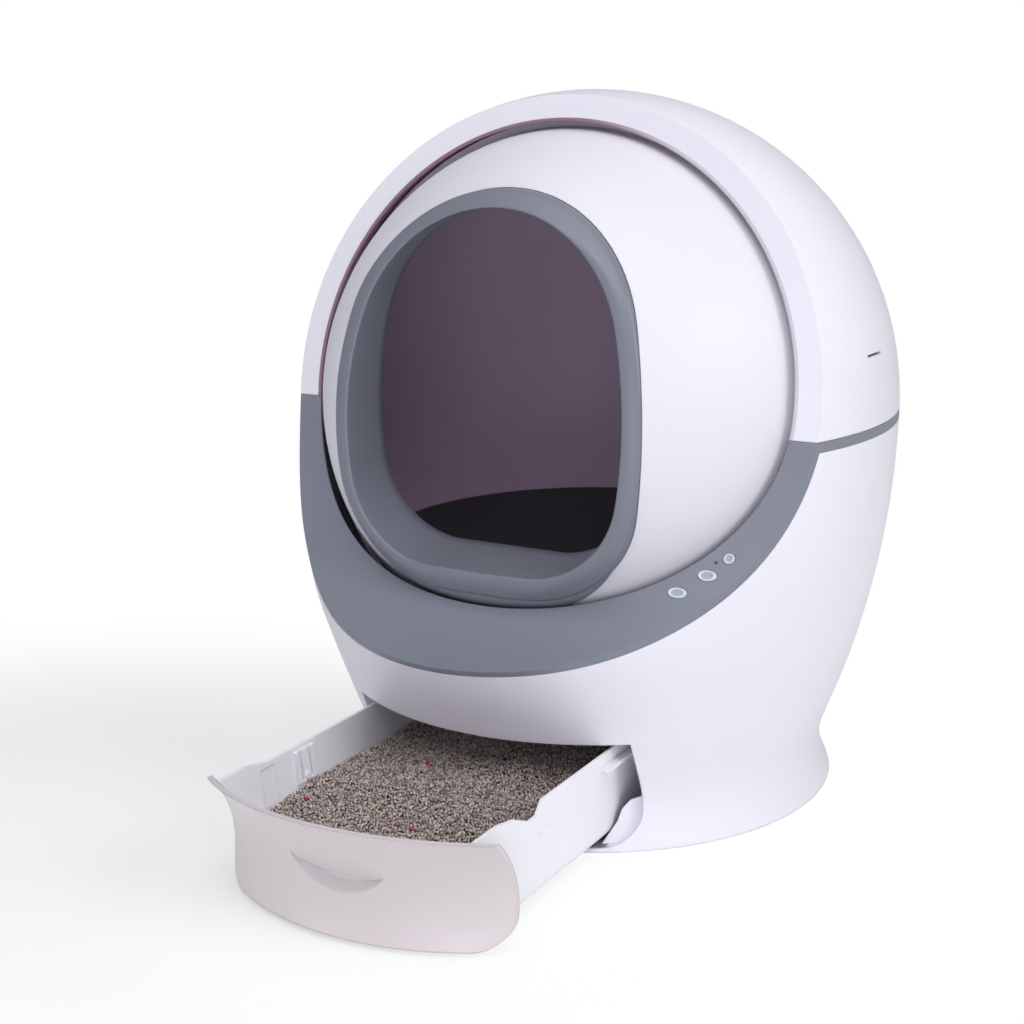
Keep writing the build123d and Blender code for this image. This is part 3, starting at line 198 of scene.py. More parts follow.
floor_mesh = bpy.data.meshes.new("floor")
floor_mesh.from_pydata(
    [(x, y, 0) for x, y in ((-1, -1), (1, -1), (1, 1), (-1, 1))], [], [(0, 1, 2, 3)]
)
floor_mesh.transform(Matrix.Scale(floor_half, 4))
floor_mesh.transform(Matrix.Translation((0, 0, -floor_sink)))
floor = bpy.data.objects.new("floor", floor_mesh)
bpy.context.scene.collection.objects.link(floor)
floor_material, floor_tree, floor_output = new_material("studio_floor")
floor_paint = node(floor_tree, "ShaderNodeBsdfDiffuse", (0, 0))
floor_paint.inputs["Color"].default_value = (0.94, 0.95, 0.94, 1)
floor_white = node(floor_tree, "ShaderNodeEmission", (0, -150))
floor_white.inputs["Strength"].default_value = 1.0
floor_mix = node(floor_tree, "ShaderNodeMixShader", (300, 0))
floor_rays = node(floor_tree, "ShaderNodeLightPath", (-300, 250))
floor_share = node(floor_tree, "ShaderNodeMath", (0, 200), operation="MULTIPLY")
floor_place = node(floor_tree, "ShaderNodeTexCoord", (-900, 0))
floor_away = node(floor_tree, "ShaderNodeVectorMath", (-700, 0), operation="DISTANCE")
floor_away.inputs[1].default_value = shadow_middle
floor_fade = ramp(floor_tree, (-500, 0), shadow_inner, shadow_outer, shadow_white, 1.0)
link(
    floor_tree,
    (floor_place.outputs["Object"], floor_away.inputs[0]),
    (floor_away.outputs["Value"], floor_fade.inputs["Value"]),
    (floor_rays.outputs["Is Camera Ray"], floor_share.inputs[0]),
    (floor_fade.outputs[0], floor_share.inputs[1]),
    (floor_share.outputs[0], floor_mix.inputs["Fac"]),
    (floor_paint.outputs[0], floor_mix.inputs[1]),
    (floor_white.outputs[0], floor_mix.inputs[2]),
    (floor_mix.outputs[0], floor_output.inputs["Surface"]),
)
floor_mesh.materials.append(floor_material)


# %% Lamps
def softbox(name, place, aim, size, power, colour=(1, 1, 1)):
    """A square studio lamp that points at aim."""
    data = bpy.data.lights.new(name, "AREA")
    data.shape = "SQUARE"
    data.size = size
    data.energy = power
    data.color = colour
    lamp = bpy.data.objects.new(name, data)
    lamp.location = place
    lamp.rotation_euler = (Vector(aim) - Vector(place)).to_track_quat("-Z", "Y").to_euler()
    bpy.context.scene.collection.objects.link(lamp)


# the large lamps stand at the right, above and in front; low_lamp lifts the underside of the
# chin, and panel_lamp is a small one near the floor for the drawer's front
lamp_aim = (0.0, -0.1, 0.3)
panel_aim = (-0.1, -0.43, 0.05)
softbox("key_lamp", (2.1, -1.3, 1.9), lamp_aim, 1.6, 3, (1.0, 0.985, 0.97))
softbox("side_lamp", (2.3, -0.3, 1.45), lamp_aim, 1.2, 21, (1.0, 0.985, 0.98))
softbox("top_lamp", (0.2, -0.4, 2.6), lamp_aim, 2.2, 15, (0.98, 0.98, 1.0))
softbox("high_lamp", (0.5, -1.6, 2.4), lamp_aim, 1.6, 23, (0.99, 0.98, 1.0))
softbox("front_lamp", (-0.6, -2.6, 1.1), lamp_aim, 1.6, 1.5, (0.98, 0.98, 1.0))
softbox("low_lamp", (0.75, -2.0, 0.28), lamp_aim, 0.8, 6, (0.86, 0.84, 1.0))
softbox("panel_lamp", (-0.42, -0.9, 0.12), panel_aim, 0.3, 0.5, (0.98, 0.97, 1.0))

# %% [markdown]
# ## Effects that many finishes share
#
# Moulded plastic is never quite even: its gloss wanders over a few centimetres, its surface has
# a fine spark-eroded grain, and its corners are a little round. Each effect is a node group with
# named inputs, built once, so that every plastic can use it with values of its own.


# %% Node groups
def new_group(name, inputs, outputs):
    """A shader node group with named sockets: each of inputs and outputs is (name, type, value)."""
    group = bpy.data.node_groups.new(name, "ShaderNodeTree")
    for label, kind, value in inputs:
        socket = group.interface.new_socket(name=label, in_out="INPUT", socket_type=kind)
        if value is not None:
            socket.default_value = value
    for label, kind, value in outputs:
        group.interface.new_socket(name=label, in_out="OUTPUT", socket_type=kind)
    entry = node(group, "NodeGroupInput", (-800, 0))
    leave = node(group, "NodeGroupOutput", (600, 0))
    return group, entry, leave


# a fine grain for the bump, and a slow wander of the gloss
grain_group, grain_in, grain_out = new_group(
    "moulded_grain",
    [("Grain Scale", "NodeSocketFloat", 900.0), ("Wander Scale", "NodeSocketFloat", 9.0),
     ("Roughness Low", "NodeSocketFloat", 0.3), ("Roughness High", "NodeSocketFloat", 0.4)],
    [("Roughness", "NodeSocketFloat", None), ("Height", "NodeSocketFloat", None)],
)
grain_place = node(grain_group, "ShaderNodeTexCoord", (-800, 300))
grain_fine = node(grain_group, "ShaderNodeTexNoise", (-500, 200))
grain_fine.inputs["Detail"].default_value = 3.0
grain_slow = node(grain_group, "ShaderNodeTexNoise", (-500, -100))
grain_slow.inputs["Detail"].default_value = 4.0
grain_range = node(grain_group, "ShaderNodeMapRange", (-200, -100))
grain_range.inputs["From Min"].default_value = 0.3
grain_range.inputs["From Max"].default_value = 0.7
link(
    grain_group,
    (grain_place.outputs["Object"], grain_fine.inputs["Vector"]),
    (grain_place.outputs["Object"], grain_slow.inputs["Vector"]),
    (grain_in.outputs["Grain Scale"], grain_fine.inputs["Scale"]),
    (grain_in.outputs["Wander Scale"], grain_slow.inputs["Scale"]),
    (grain_slow.outputs["Fac"], grain_range.inputs["Value"]),
    (grain_in.outputs["Roughness Low"], grain_range.inputs["To Min"]),
    (grain_in.outputs["Roughness High"], grain_range.inputs["To Max"]),
    (grain_range.outputs[0], grain_out.inputs["Roughness"]),
    (grain_fine.outputs["Fac"], grain_out.inputs["Height"]),
)

# two close tones of one colour, mixed by a slow noise
tone_group, tone_in, tone_out = new_group(
    "two_tones",
    [("Colour", "NodeSocketColor", (0.8, 0.8, 0.8, 1)),
     ("Other Colour", "NodeSocketColor", (0.7, 0.7, 0.7, 1)),
     ("Patch Scale", "NodeSocketFloat", 4.0)],
    [("Colour", "NodeSocketColor", None)],
)
tone_place = node(tone_group, "ShaderNodeTexCoord", (-800, 300))
tone_noise = node(tone_group, "ShaderNodeTexNoise", (-500, 200))
tone_noise.inputs["Detail"].default_value = 5.0
tone_range = node(tone_group, "ShaderNodeMapRange", (-250, 200))
tone_range.inputs["From Min"].default_value = 0.35
tone_range.inputs["From Max"].default_value = 0.65
tone_mix = node(tone_group, "ShaderNodeMix", (0, 0), data_type="RGBA")
link(
    tone_group,
    (tone_place.outputs["Object"], tone_noise.inputs["Vector"]),
    (tone_in.outputs["Patch Scale"], tone_noise.inputs["Scale"]),
    (tone_noise.outputs["Fac"], tone_range.inputs["Value"]),
    (tone_range.outputs[0], tone_mix.inputs["Factor"]),
    (tone_in.outputs["Colour"], tone_mix.inputs["A"]),
    (tone_in.outputs["Other Colour"], tone_mix.inputs["B"]),
    (tone_mix.outputs["Result"], tone_out.inputs["Colour"]),
)
print("node groups", [group.name for group in bpy.data.node_groups])

# %% [markdown]
# ## Finishes
#
# One function makes every plastic, because they differ only in colour, gloss, grain and how
# round their corners look. A table gives these values under the name of each material slot. The
# Bevel node bends the normal near a corner, which costs no geometry and gives moulded edges
# their soft highlight.


# %% Plastics
def two_tone_colour(tree, colour, other, place):
    """The two_tones group with its two colours, placed in a material."""
    made = node(tree, "ShaderNodeGroup", place)
    made.node_tree = tone_group
    made.inputs["Colour"].default_value = (*colour, 1)
    made.inputs["Other Colour"].default_value = (*other, 1)
    return made


def plastic(name, colour, other, gloss, grain=0.04, grain_scale=900.0, corner=0.8,
            metallic=0.0, coat=0.0, specular=0.5):
    """A moulded or metal finish: two tones, wandering gloss, fine grain and soft corners in mm."""
    material, tree, output = new_material(name)
    shader = node(tree, "ShaderNodeBsdfPrincipled", (300, 0))
    shader.inputs["Metallic"].default_value = metallic
    shader.inputs["Coat Weight"].default_value = coat
    shader.inputs["Coat Roughness"].default_value = 0.15
    shader.inputs["Specular IOR Level"].default_value = specular
    tones = two_tone_colour(tree, colour, other, (-300, 200))
    surface = node(tree, "ShaderNodeGroup", (-300, 0))
    surface.node_tree = grain_group
    surface.inputs["Grain Scale"].default_value = grain_scale
    surface.inputs["Roughness Low"].default_value = gloss[0]
    surface.inputs["Roughness High"].default_value = gloss[1]
    corners = node(tree, "ShaderNodeBevel", (-300, -300), samples=6)
    corners.inputs["Radius"].default_value = corner * MM
    bump = node(tree, "ShaderNodeBump", (0, -200))
    bump.inputs["Strength"].default_value = grain
    bump.inputs["Distance"].default_value = 0.3 * MM
    link(
        tree,
        (tones.outputs["Colour"], shader.inputs["Base Color"]),
        (surface.outputs["Roughness"], shader.inputs["Roughness"]),
        (surface.outputs["Height"], bump.inputs["Height"]),
        (corners.outputs["Normal"], bump.inputs["Normal"]),
        (bump.outputs["Normal"], shader.inputs["Normal"]),
        (shader.outputs["BSDF"], output.inputs["Surface"]),
    )
    return material


# name: (colour, second tone, roughness from and to, what differs from the usual)
plastics = {
    "white_shell": ((0.82, 0.81, 0.875), (0.79, 0.78, 0.845), (0.34, 0.42), dict(corner=2.0)),
    "grey_trim": ((0.205, 0.222, 0.27), (0.193, 0.209, 0.254), (0.36, 0.44),
                  dict(corner=1.6, specular=0.6)),
    "rim_plastic": ((0.18, 0.195, 0.235), (0.17, 0.184, 0.222), (0.38, 0.46),
                    dict(corner=0.5, specular=0.6)),
    "drum_white": ((0.74, 0.73, 0.79), (0.715, 0.705, 0.765), (0.46, 0.54), dict(corner=1.0)),
    "drum_grey": ((0.61, 0.475, 0.605), (0.58, 0.45, 0.575), (0.5, 0.6), dict(corner=1.0)),
    "black_mat": ((0.06, 0.055, 0.066), (0.045, 0.041, 0.05), (0.6, 0.75),
                  dict(grain=0.3, grain_scale=500)),
    "panel_plastic": ((0.67, 0.62, 0.625), (0.65, 0.60, 0.605), (0.3, 0.38),
                      dict(corner=2.0, specular=0.6)),
    "tub_plastic": ((0.87, 0.87, 0.92), (0.85, 0.85, 0.90), (0.36, 0.45), {}),
    "button_plastic": ((0.64, 0.69, 0.76), (0.61, 0.66, 0.73), (0.3, 0.4), dict(corner=0.3)),
    # a darker copy of button_plastic: painted shade in the keys' dished middles
    "button_dish_shade": ((0.36, 0.41, 0.47), (0.33, 0.38, 0.44), (0.35, 0.45), dict(corner=0.3)),
    "light_lens": ((0.05, 0.055, 0.07), (0.04, 0.045, 0.06), (0.15, 0.2),
                   dict(grain=0.0, corner=0.2, coat=0.5)),
    "bay_plastic": ((0.88, 0.86, 0.93), (0.86, 0.84, 0.91), (0.5, 0.6), {}),
    "rail_plastic": ((0.55, 0.55, 0.60), (0.52, 0.52, 0.57), (0.4, 0.5), dict(corner=0.5)),
    "grey_plate": ((0.22, 0.22, 0.24), (0.2, 0.2, 0.22), (0.5, 0.62),
                   dict(grain=0.15, grain_scale=500, corner=0.6)),
    "soft_rubber": ((0.03, 0.03, 0.033), (0.024, 0.024, 0.027), (0.65, 0.8),
                    dict(grain=0.3, grain_scale=600)),
    "screw_steel": ((0.55, 0.55, 0.57), (0.5, 0.5, 0.52), (0.25, 0.4),
                    dict(grain=0.05, corner=0.3, metallic=1.0)),
    "bracket_steel": ((0.5, 0.51, 0.53), (0.46, 0.47, 0.49), (0.35, 0.5),
                      dict(grain=0.1, corner=0.4, metallic=1.0)),
    "motor_steel": ((0.44, 0.44, 0.46), (0.4, 0.4, 0.42), (0.3, 0.45),
                    dict(grain=0.05, corner=0.5, metallic=1.0)),
    "gear_plastic": ((0.72, 0.70, 0.63), (0.69, 0.67, 0.6), (0.35, 0.45), dict(corner=0.3)),
    "gear_brass": ((0.72, 0.53, 0.22), (0.66, 0.48, 0.2), (0.25, 0.4),
                   dict(grain=0.05, corner=0.3, metallic=1.0)),
    "board_green": ((0.02, 0.13, 0.06), (0.017, 0.11, 0.05), (0.25, 0.35),
                    dict(grain=0.02, corner=0.2, coat=0.3)),
    "black_plastic": ((0.022, 0.022, 0.025), (0.018, 0.018, 0.02), (0.35, 0.45),
                      dict(corner=0.4)),
}
finishes = {
    name: plastic(name, colour, other, gloss, **rest)
    for name, (colour, other, gloss, rest) in plastics.items()
}
print(len(finishes), "finishes")

# %% [markdown]
# Round its opening the cover turns back in. That strip isn't polished like the outside and has
# a pinkish tone. It sits in the gap over the drum, and its colour is darkened to a deep mauve as
# painted shade. It is part of the cover's own solid, so its colour comes from a mask: every place
# on the shell that lies nearer to the drum's centre than the strip's outer face gets the tint and
# the painted shade. A second mask weakens them from the middle to the right side, where the strip
# catches the light: painted light on the right side.

# %% Tint and painted shade inside the cover's opening
white_tree = finishes["white_shell"].node_tree
white_shader = next(made for made in white_tree.nodes if made.type == "BSDF_PRINCIPLED")
white_tones = white_shader.inputs["Base Color"].links[0].from_socket
# full tint and painted shade nearer than the first distance, none beyond the second
shade_tint_inner, shade_tint_outer = 251.6, 252.4  # mm from the drum's centre: full tint, no tint
# the weakening towards the right side is painted light, where the strip catches the light
lit_side_reach, lit_side_share = 130.0, 0.35  # mm to the right of the middle, and the tint left there
shade_tint_place = node(white_tree, "ShaderNodeTexCoord", (-900, 500))
shade_tint_away = node(white_tree, "ShaderNodeVectorMath", (-700, 500), operation="DISTANCE")
shade_tint_away.inputs[1].default_value = drum_centre
shade_tint_mask = ramp(white_tree, (-500, 500), shade_tint_inner * MM, shade_tint_outer * MM, 1.0, 0.0)
lit_side_axes = node(white_tree, "ShaderNodeSeparateXYZ", (-700, 700))
lit_side_fade = ramp(white_tree, (-500, 700), 0.0, lit_side_reach * MM, 1.0, lit_side_share)
shade_tint_share = node(white_tree, "ShaderNodeMath", (-250, 600), operation="MULTIPLY")
tone_and_shade_mix = node(white_tree, "ShaderNodeMix", (0, 400), data_type="RGBA")
# a pinkish tone, darkened as painted shade of the gap over the drum
tone_and_shade_mix.inputs["B"].default_value = (0.27, 0.15, 0.21, 1)
link(
    white_tree,
    (shade_tint_place.outputs["Object"], shade_tint_away.inputs[0]),
    (shade_tint_away.outputs["Value"], shade_tint_mask.inputs["Value"]),
    (shade_tint_place.outputs["Object"], lit_side_axes.inputs[0]),
    (lit_side_axes.outputs["X"], lit_side_fade.inputs["Value"]),
    (shade_tint_mask.outputs[0], shade_tint_share.inputs[0]),
    (lit_side_fade.outputs[0], shade_tint_share.inputs[1]),
    (shade_tint_share.outputs[0], tone_and_shade_mix.inputs["Factor"]),
    (white_tones, tone_and_shade_mix.inputs["A"]),
    (tone_and_shade_mix.outputs["Result"], white_shader.inputs["Base Color"]),
)
print("tinted inside", shade_tint_inner, "mm")

# %% Put the finishes on the CAD pieces
slot_of = {entry["node"]: entry["material_slot"] for entry in frame["record"]["subparts"]}
for name, piece in frame["nodes"].items():
    material = finishes.get(slot_of[name])
    if material:
        piece.data.materials.clear()
        piece.data.materials.append(material)
print("plain pieces left", [n for n, s in slot_of.items() if s not in finishes])


# %% [markdown]
# ## Meshes from rings of points
#
# The rim and the buttons are both a row of closed rings joined by quads. One helper makes the
# mesh, links it, smooths it, and gives it its finish and its place in the model.


# %% Ring mesh helper
def ring_mesh(name, rings, finish, body, replaced, closed=True):
    """A smooth mesh from rings of equal length; closed joins the last ring to the first.

    It rides on body, has the finish's slot, and stands for the CAD node replaced, if that is given.
    """
    count = len(rings[0])
    points = [tuple(p) for ring in rings for p in ring]
    last = len(rings) if closed else len(rings) - 1
    faces = []
    for i in range(last):
        a, b = i * count, (i + 1) % len(rings) * count
        faces += [(a + j, a + (j + 1) % count, b + (j + 1) % count, b + j) for j in range(count)]
    mesh = bpy.data.meshes.new(name)
    mesh.from_pydata(points, [], faces)
    mesh.validate()
    mesh.polygons.foreach_set("use_smooth", [True] * len(mesh.polygons))
    mesh.materials.append(finishes[finish])
    piece = bpy.data.objects.new(name, mesh)
    bpy.context.scene.collection.objects.link(piece)
    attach(piece, body)
    if replaced:
        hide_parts(replaced)
    return piece


# %% [markdown]
# ## The entry rim
#
# The rim is the grey frame that the cat steps through. Its outline is an egg with a flat sill,
# built from arcs that touch smoothly: one over the top, one long arc down each side, and one
# round each lower corner. The section goes round the outer edge, over the face, and back
# through the tunnel. The CAD rim has sharp edges, so this piece stands for it, with the same
# outlines and with every edge rolled over. A thin flange lies on the drum behind it, a little
# lower, and shows under the sill.


# %% Outline of the entry
def entry_outline(grow, top, bottom, half_width, side_radius, corner_radius, arc_points=30):
    """(x, z) points round the egg-shaped outline, let out by grow, all in mm."""
    widest = 348.0
    radius, corner = side_radius + grow, corner_radius + grow
    side_x = half_width - side_radius
    rise = top + grow - widest
    top_radius = (radius**2 - side_x**2 - rise**2) / (2 * (radius - rise))
    corner_z = bottom - grow + corner
    corner_x = side_x + math.sqrt((radius - corner) ** 2 - (widest - corner_z) ** 2)
    upper = math.atan2(rise - top_radius, -side_x)
    lower = math.atan2(corner_z - widest, corner_x - side_x)

    def arc(x, z, r, start, end):
        steps = np.linspace(start, end, arc_points)[:-1]
        return [(x + r * math.cos(t), z + r * math.sin(t)) for t in steps]

    quarter = math.pi / 2
    half = (
        arc(0, widest + rise - top_radius, top_radius, quarter, upper)
        + arc(side_x, widest, radius, upper, lower)
        + arc(corner_x, corner_z, corner, lower, -quarter)
    )
    half += [(corner_x * t, corner_z - corner) for t in np.linspace(1, 0, arc_points)]
    return np.array(half + [(-x, z) for x, z in half[-2:0:-1]])


rim_outline = dict(
    top=535.0, bottom=211.0, half_width=143.0, side_radius=328.0, corner_radius=92.0
)
tunnel_front, tunnel_end = -235.0, -150.0
lip_y = -200.0  # where the tunnel meets the rim's face
face_ball = dict(y=237.2, z=314.2, radius=458.5)
low_face_ball = 247.5  # radius of a second ball, round the drum's centre
shell_ball = 238.5  # radius inside the drum's wall, where the rim's skirt ends


def tunnel_outline(y, grow=0.0):
    """The tunnel's outline at y: it narrows, and its sill climbs, on the way in."""
    share = (y - tunnel_front) / (tunnel_end - tunnel_front)
    return entry_outline(
        grow, top=520.5, bottom=226.0 + 13.0 * share, half_width=129.0 - 2.5 * share,
        side_radius=314.0 - 2.5 * share, corner_radius=78.0,
    )


def on_ball(points, radius):
    """y of the front of a ball round the drum's centre, over (x, z) points."""
    x, z = points[:, 0], points[:, 1]
    return -np.sqrt(np.maximum(radius**2 - x**2 - (z - centre_height) ** 2, 0))


def rim_face(points):
    """y of the rim's face over (x, z) points: of two balls the one further back, blended."""
    x, z = points[:, 0], points[:, 1]
    large = face_ball["y"] - np.sqrt(face_ball["radius"] ** 2 - x**2 - (z - face_ball["z"]) ** 2)
    near = on_ball(points, low_face_ball)
    return (large + near + np.sqrt((large - near) ** 2 + 1.0)) / 2


# %% Rim mesh
def ring_at(outline, y):
    """Ring of points in metres from an outline and its y: one value, or one for each point."""
    return np.column_stack([outline[:, 0], np.broadcast_to(y, len(outline)), outline[:, 1]]) * MM


def tunnel_ring(depths, grow=0.0):
    """Ring on the tunnel's wall whose points lie at different depths."""
    return np.array([
        ring_at(tunnel_outline(y, grow)[i : i + 1], y)[0] for i, y in enumerate(depths)
    ])


# radii and wall thicknesses in mm
edge_round, lip_round, end_round = 2.6, 2.6, 1.2
tunnel_wall, face_wall, skirt_wall = 3.5, 5.0, 4.5
face_swell = 0.8
outer = entry_outline(0, **rim_outline)
outer_face = rim_face(outer)
inner_face = rim_face(tunnel_outline(lip_y))
drum_depth = on_ball(outer, shell_ball)

# the outer side, and round the outer edge
rim_rings = [ring_at(outer, np.maximum(drum_depth, outer_face + edge_round + 1))]
for turn in np.linspace(0, math.pi / 2, 6):
    outline = entry_outline(-edge_round * (1 - math.cos(turn)), **rim_outline)
    rim_rings.append(ring_at(outline, rim_face(outline) + edge_round * (1 - math.sin(turn))))
# over the face, which swells a little between its edges
face_edge = entry_outline(-edge_round, **rim_outline)
lip_edge = tunnel_outline(lip_y, lip_round)
for share in (0.25, 0.5, 0.75):
    outline = face_edge + (lip_edge - face_edge) * share
    rim_rings.append(ring_at(outline, rim_face(outline) - face_swell * math.sin(math.pi * share)))
# round the lip, and back through the tunnel
for turn in np.linspace(0, math.pi / 2, 6):
    outline = tunnel_outline(lip_y, lip_round * (1 - math.sin(turn)))
    rim_rings.append(ring_at(outline, rim_face(outline) + lip_round * (1 - math.cos(turn))))
for share in np.linspace(0.15, 1, 6):
    along = inner_face + lip_round + (tunnel_end - inner_face - lip_round) * share
    rim_rings.append(tunnel_ring(along))
# round the tunnel's end, and forward again behind the face
rim_rings.append(ring_at(tunnel_outline(tunnel_end, tunnel_wall / 2), tunnel_end + end_round))
rim_rings.append(ring_at(tunnel_outline(tunnel_end, tunnel_wall), tunnel_end))
rim_rings.append(tunnel_ring(inner_face + face_wall, tunnel_wall))
skirt = entry_outline(-tunnel_wall, **rim_outline)
rim_rings.append(ring_at(skirt, np.maximum(drum_depth, rim_face(skirt) + skirt_wall)))
entry_rim_soft = ring_mesh("entry_rim_soft", rim_rings, "rim_plastic", "drum", "entry_rim")

# the flange behind the rim
flange_outline = dict(rim_outline, top=523.0, bottom=199.0, half_width=137.0)
flange_edge = entry_outline(0, **flange_outline)
flange_root = entry_outline(-2.5, **rim_outline)
flange_profile = (  # share of the way from root to edge, distance from the drum's centre
    (0.0, 242.3), (0.0, 244.0), (0.9, 244.0), (0.97, 243.7), (1.0, 243.1), (1.0, 242.3),
)
behind_face = 2.0  # where the flange is narrower than the rim, it stays behind the rim's face
flange_rings = []
for share, ball in flange_profile:
    outline = flange_root + (flange_edge - flange_root) * share
    depth = np.maximum(on_ball(outline, ball), rim_face(outline) + behind_face)
    flange_rings.append(ring_at(outline, depth))
rim_flange_soft = ring_mesh("rim_flange_soft", flange_rings, "rim_plastic", "drum", None)
print("rim", len(entry_rim_soft.data.vertices) + len(rim_flange_soft.data.vertices), "points")


# %% [markdown]
# ## The buttons
#
# Three pale keys follow the collar's slope: two ovals and a small round one. Each has a raised
# ring round a dished middle, which gets a darker copy of the keys' finish as painted shade. A key
# is turned like a bowl, on a profile from its middle to its skirt, and then stretched to an oval.


# %% Buttons
def fascia_frame(x, y):
    """Origin, along-slope direction and outward direction on the collar at x and y, in metres."""
    z = fascia_centre[1] - math.sqrt(fascia_arc_radius**2 - (y - fascia_centre[0]) ** 2)
    outwards = Vector((0, fascia_centre[0] - y, fascia_centre[1] - z)).normalized()
    return Vector((x, y, z)), outwards.cross(Vector((1, 0, 0))).normalized(), outwards


key_profile = [  # share of the key's half width, height in mm
    (0.0, 0.35), (0.3, 0.38), (0.55, 0.5), (0.66, 0.72), (0.74, 1.05), (0.82, 1.2), (0.9, 1.1),
    (0.96, 0.8), (1.0, 0.3), (1.0, -1.0), (1.0, -6.0),
]
keys = {  # x and y of the middle, length and width, all in mm
    "button_left": (165.0, -174.3, 16.0, 9.6),
    "button_middle": (184.4, -160.8, 16.0, 9.6),
    "button_round": (197.9, -149.5, 9.0, 9.0),
}
key_points = 48
# the darker finish on these middle rings is painted shade in the dish
shaded_dish_rings = 3  # so many rings from the middle have the darker finish
for key_name, (x, y, length, width) in keys.items():
    origin, slope, outwards = fascia_frame(x * MM, y * MM)
    rings = []
    for share, height in key_profile:
        ring = []
        for t in np.linspace(0, 2 * math.pi, key_points, endpoint=False):
            reach = Vector((1, 0, 0)) * math.cos(t) * length / 2 + slope * math.sin(t) * width / 2
            ring.append(origin + reach * MM * max(share, 0.001) + outwards * height * MM)
        rings.append(ring)
    key = ring_mesh(key_name + "_cap", rings, "button_plastic", key_name, key_name, closed=False)
    key.data.materials.append(finishes["button_dish_shade"])
    for face in key.data.polygons[: shaded_dish_rings * key_points]:
        face.material_index = 1
print("keys", list(keys))

# %% [markdown]
# ## The litter
#
# The drawer holds clumping litter: tan grains two to three millimetres across, with dark gaps
# between them and a few pink, navy and green grains. A texture can't give the ragged edge
# against the walls, so the grains are real meshes, joined in one. Under them lies a near-black
# heap that closes the gaps: painted shade for the shadowed depths between the grains.
#
# Loose grains don't lie in rows, but they don't overlap either. So they start in rows, are
# shifted at random, and then push each other apart a few times.

# %% Places of the grains
seed = np.random.default_rng(7)
litter_low, litter_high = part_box("litter_fill")
heap_middle = (litter_low[1] + litter_high[1]) / 2

# the tub, in mm: its walls lean out by tub_flare over tub_depth
tub_floor, tub_depth = 6.0, 91.4
tub_half_width, tub_flare, tub_wall, wall_play = 106.0, 10.5, 2.6, 0.3
front_reach = 187.2 * MM  # the tub's round front, from the drawer's axis
rear_y = -62.9 * MM

# the heap, in mm: how high its crown is, and how much lower it lies at the sides and the ends
crown_height, side_drop, end_drop = 63.0, 5.0, 4.0
crown_half_width, crown_half_length = 0.113, 0.17  # metres
swells = ((16, 0.3, 2.4), (45, 4.0, 1.0))  # waves per metre, slice of the noise, height in mm


def heap_height(x, y):
    """Height of the heap's surface at x and y, in metres: a low crown, with slow uneven swells."""
    sides = side_drop * (x / crown_half_width) ** 2
    ends = end_drop * ((y - heap_middle) / crown_half_length) ** 2
    swell = sum(
        noise.noise(Vector((x * waves, y * waves, layer))) * height
        for waves, layer, height in swells
    )
    return (crown_height - sides - ends + swell) * MM


def litter_half_width(z):
    """Half width between the tub's inner walls at a height."""
    outside = tub_half_width + tub_flare * (z / MM - tub_floor) / tub_depth
    return (outside - tub_wall - wall_play) * MM


pitch, shift = 2.7 * MM, 0.6  # the shift is a share of the pitch
row_step = 0.87  # of the pitch, so that the rows lie closer than the grains in a row
spread = 0.114
spots = []
for row, y in enumerate(np.arange(litter_low[1], rear_y, pitch * row_step)):
    for x in np.arange(-spread, spread, pitch):
        shifted_x = x + (row % 2) * pitch / 2 + seed.uniform(-shift, shift) * pitch
        shifted_y = y + seed.uniform(-shift, shift) * pitch
        spots.append((shifted_x, shifted_y, 0.0))

# grains that came too close push each other apart, each by a share of what is missing
reach, push_share, push_rounds = pitch * 0.97, 0.42, 5
for _ in range(push_rounds):
    near = kdtree.KDTree(len(spots))
    for index, spot in enumerate(spots):
        near.insert(spot, index)
    near.balance()
    moved = []
    for x, y, _z in spots:
        push_x = push_y = 0.0
        for (other_x, other_y, _w), _i, gap in near.find_range((x, y, 0.0), reach):
            if gap > 0:
                push = (reach - gap) / gap * push_share
                push_x += (x - other_x) * push
                push_y += (y - other_y) * push
        moved.append((x + push_x, y + push_y, 0.0))
    spots = moved

# keep the grains that lie between the tub's walls, each at its height on the heap
side_play, end_play = 0.9 * MM, 1 * MM
inside = []
for x, y, _z in spots:
    z = heap_height(x, y) + seed.uniform(-0.9, 0.7) * MM
    beside = abs(x) > litter_half_width(z) - side_play
    before = math.hypot(x, y - drawer_axis_y) > front_reach - end_play
    if not (beside or before or y > rear_y - end_play):
        inside.append((x, y, z))
spots = np.array(inside)
print("grains", len(spots))

# %% [markdown]
# Each grain is a copy of one twelve-point pebble, turned, stretched and toned by the seeded
# generator. The pebble is a twenty-sided solid: three crossed golden rectangles give its points,
# and every three points that lie close together give a face. A few larger coloured grains have
# chosen places.

# %% Pebble copies
golden = (1 + math.sqrt(5)) / 2
rectangle = np.array([(s, t * golden, 0) for s in (-1, 1) for t in (-1, 1)])
pebble = np.vstack([rectangle, rectangle[:, [2, 0, 1]], rectangle[:, [1, 2, 0]]])
pebble /= math.hypot(1, golden)


def outward(a, b, c):
    """The face of three of the pebble's points, in the order that makes it look outwards."""
    normal = np.cross(pebble[b] - pebble[a], pebble[c] - pebble[a])
    return (a, b, c) if np.dot(normal, pebble[a]) > 0 else (a, c, b)


def apart(a, b):
    """Distance between two of the pebble's points."""
    return np.linalg.norm(pebble[a] - pebble[b])


pebble_faces = np.array([
    outward(a, b, c)
    for a in range(12) for b in range(a + 1, 12) for c in range(b + 1, 12)
    if max(apart(a, b), apart(b, c), apart(a, c)) < 1.1
])

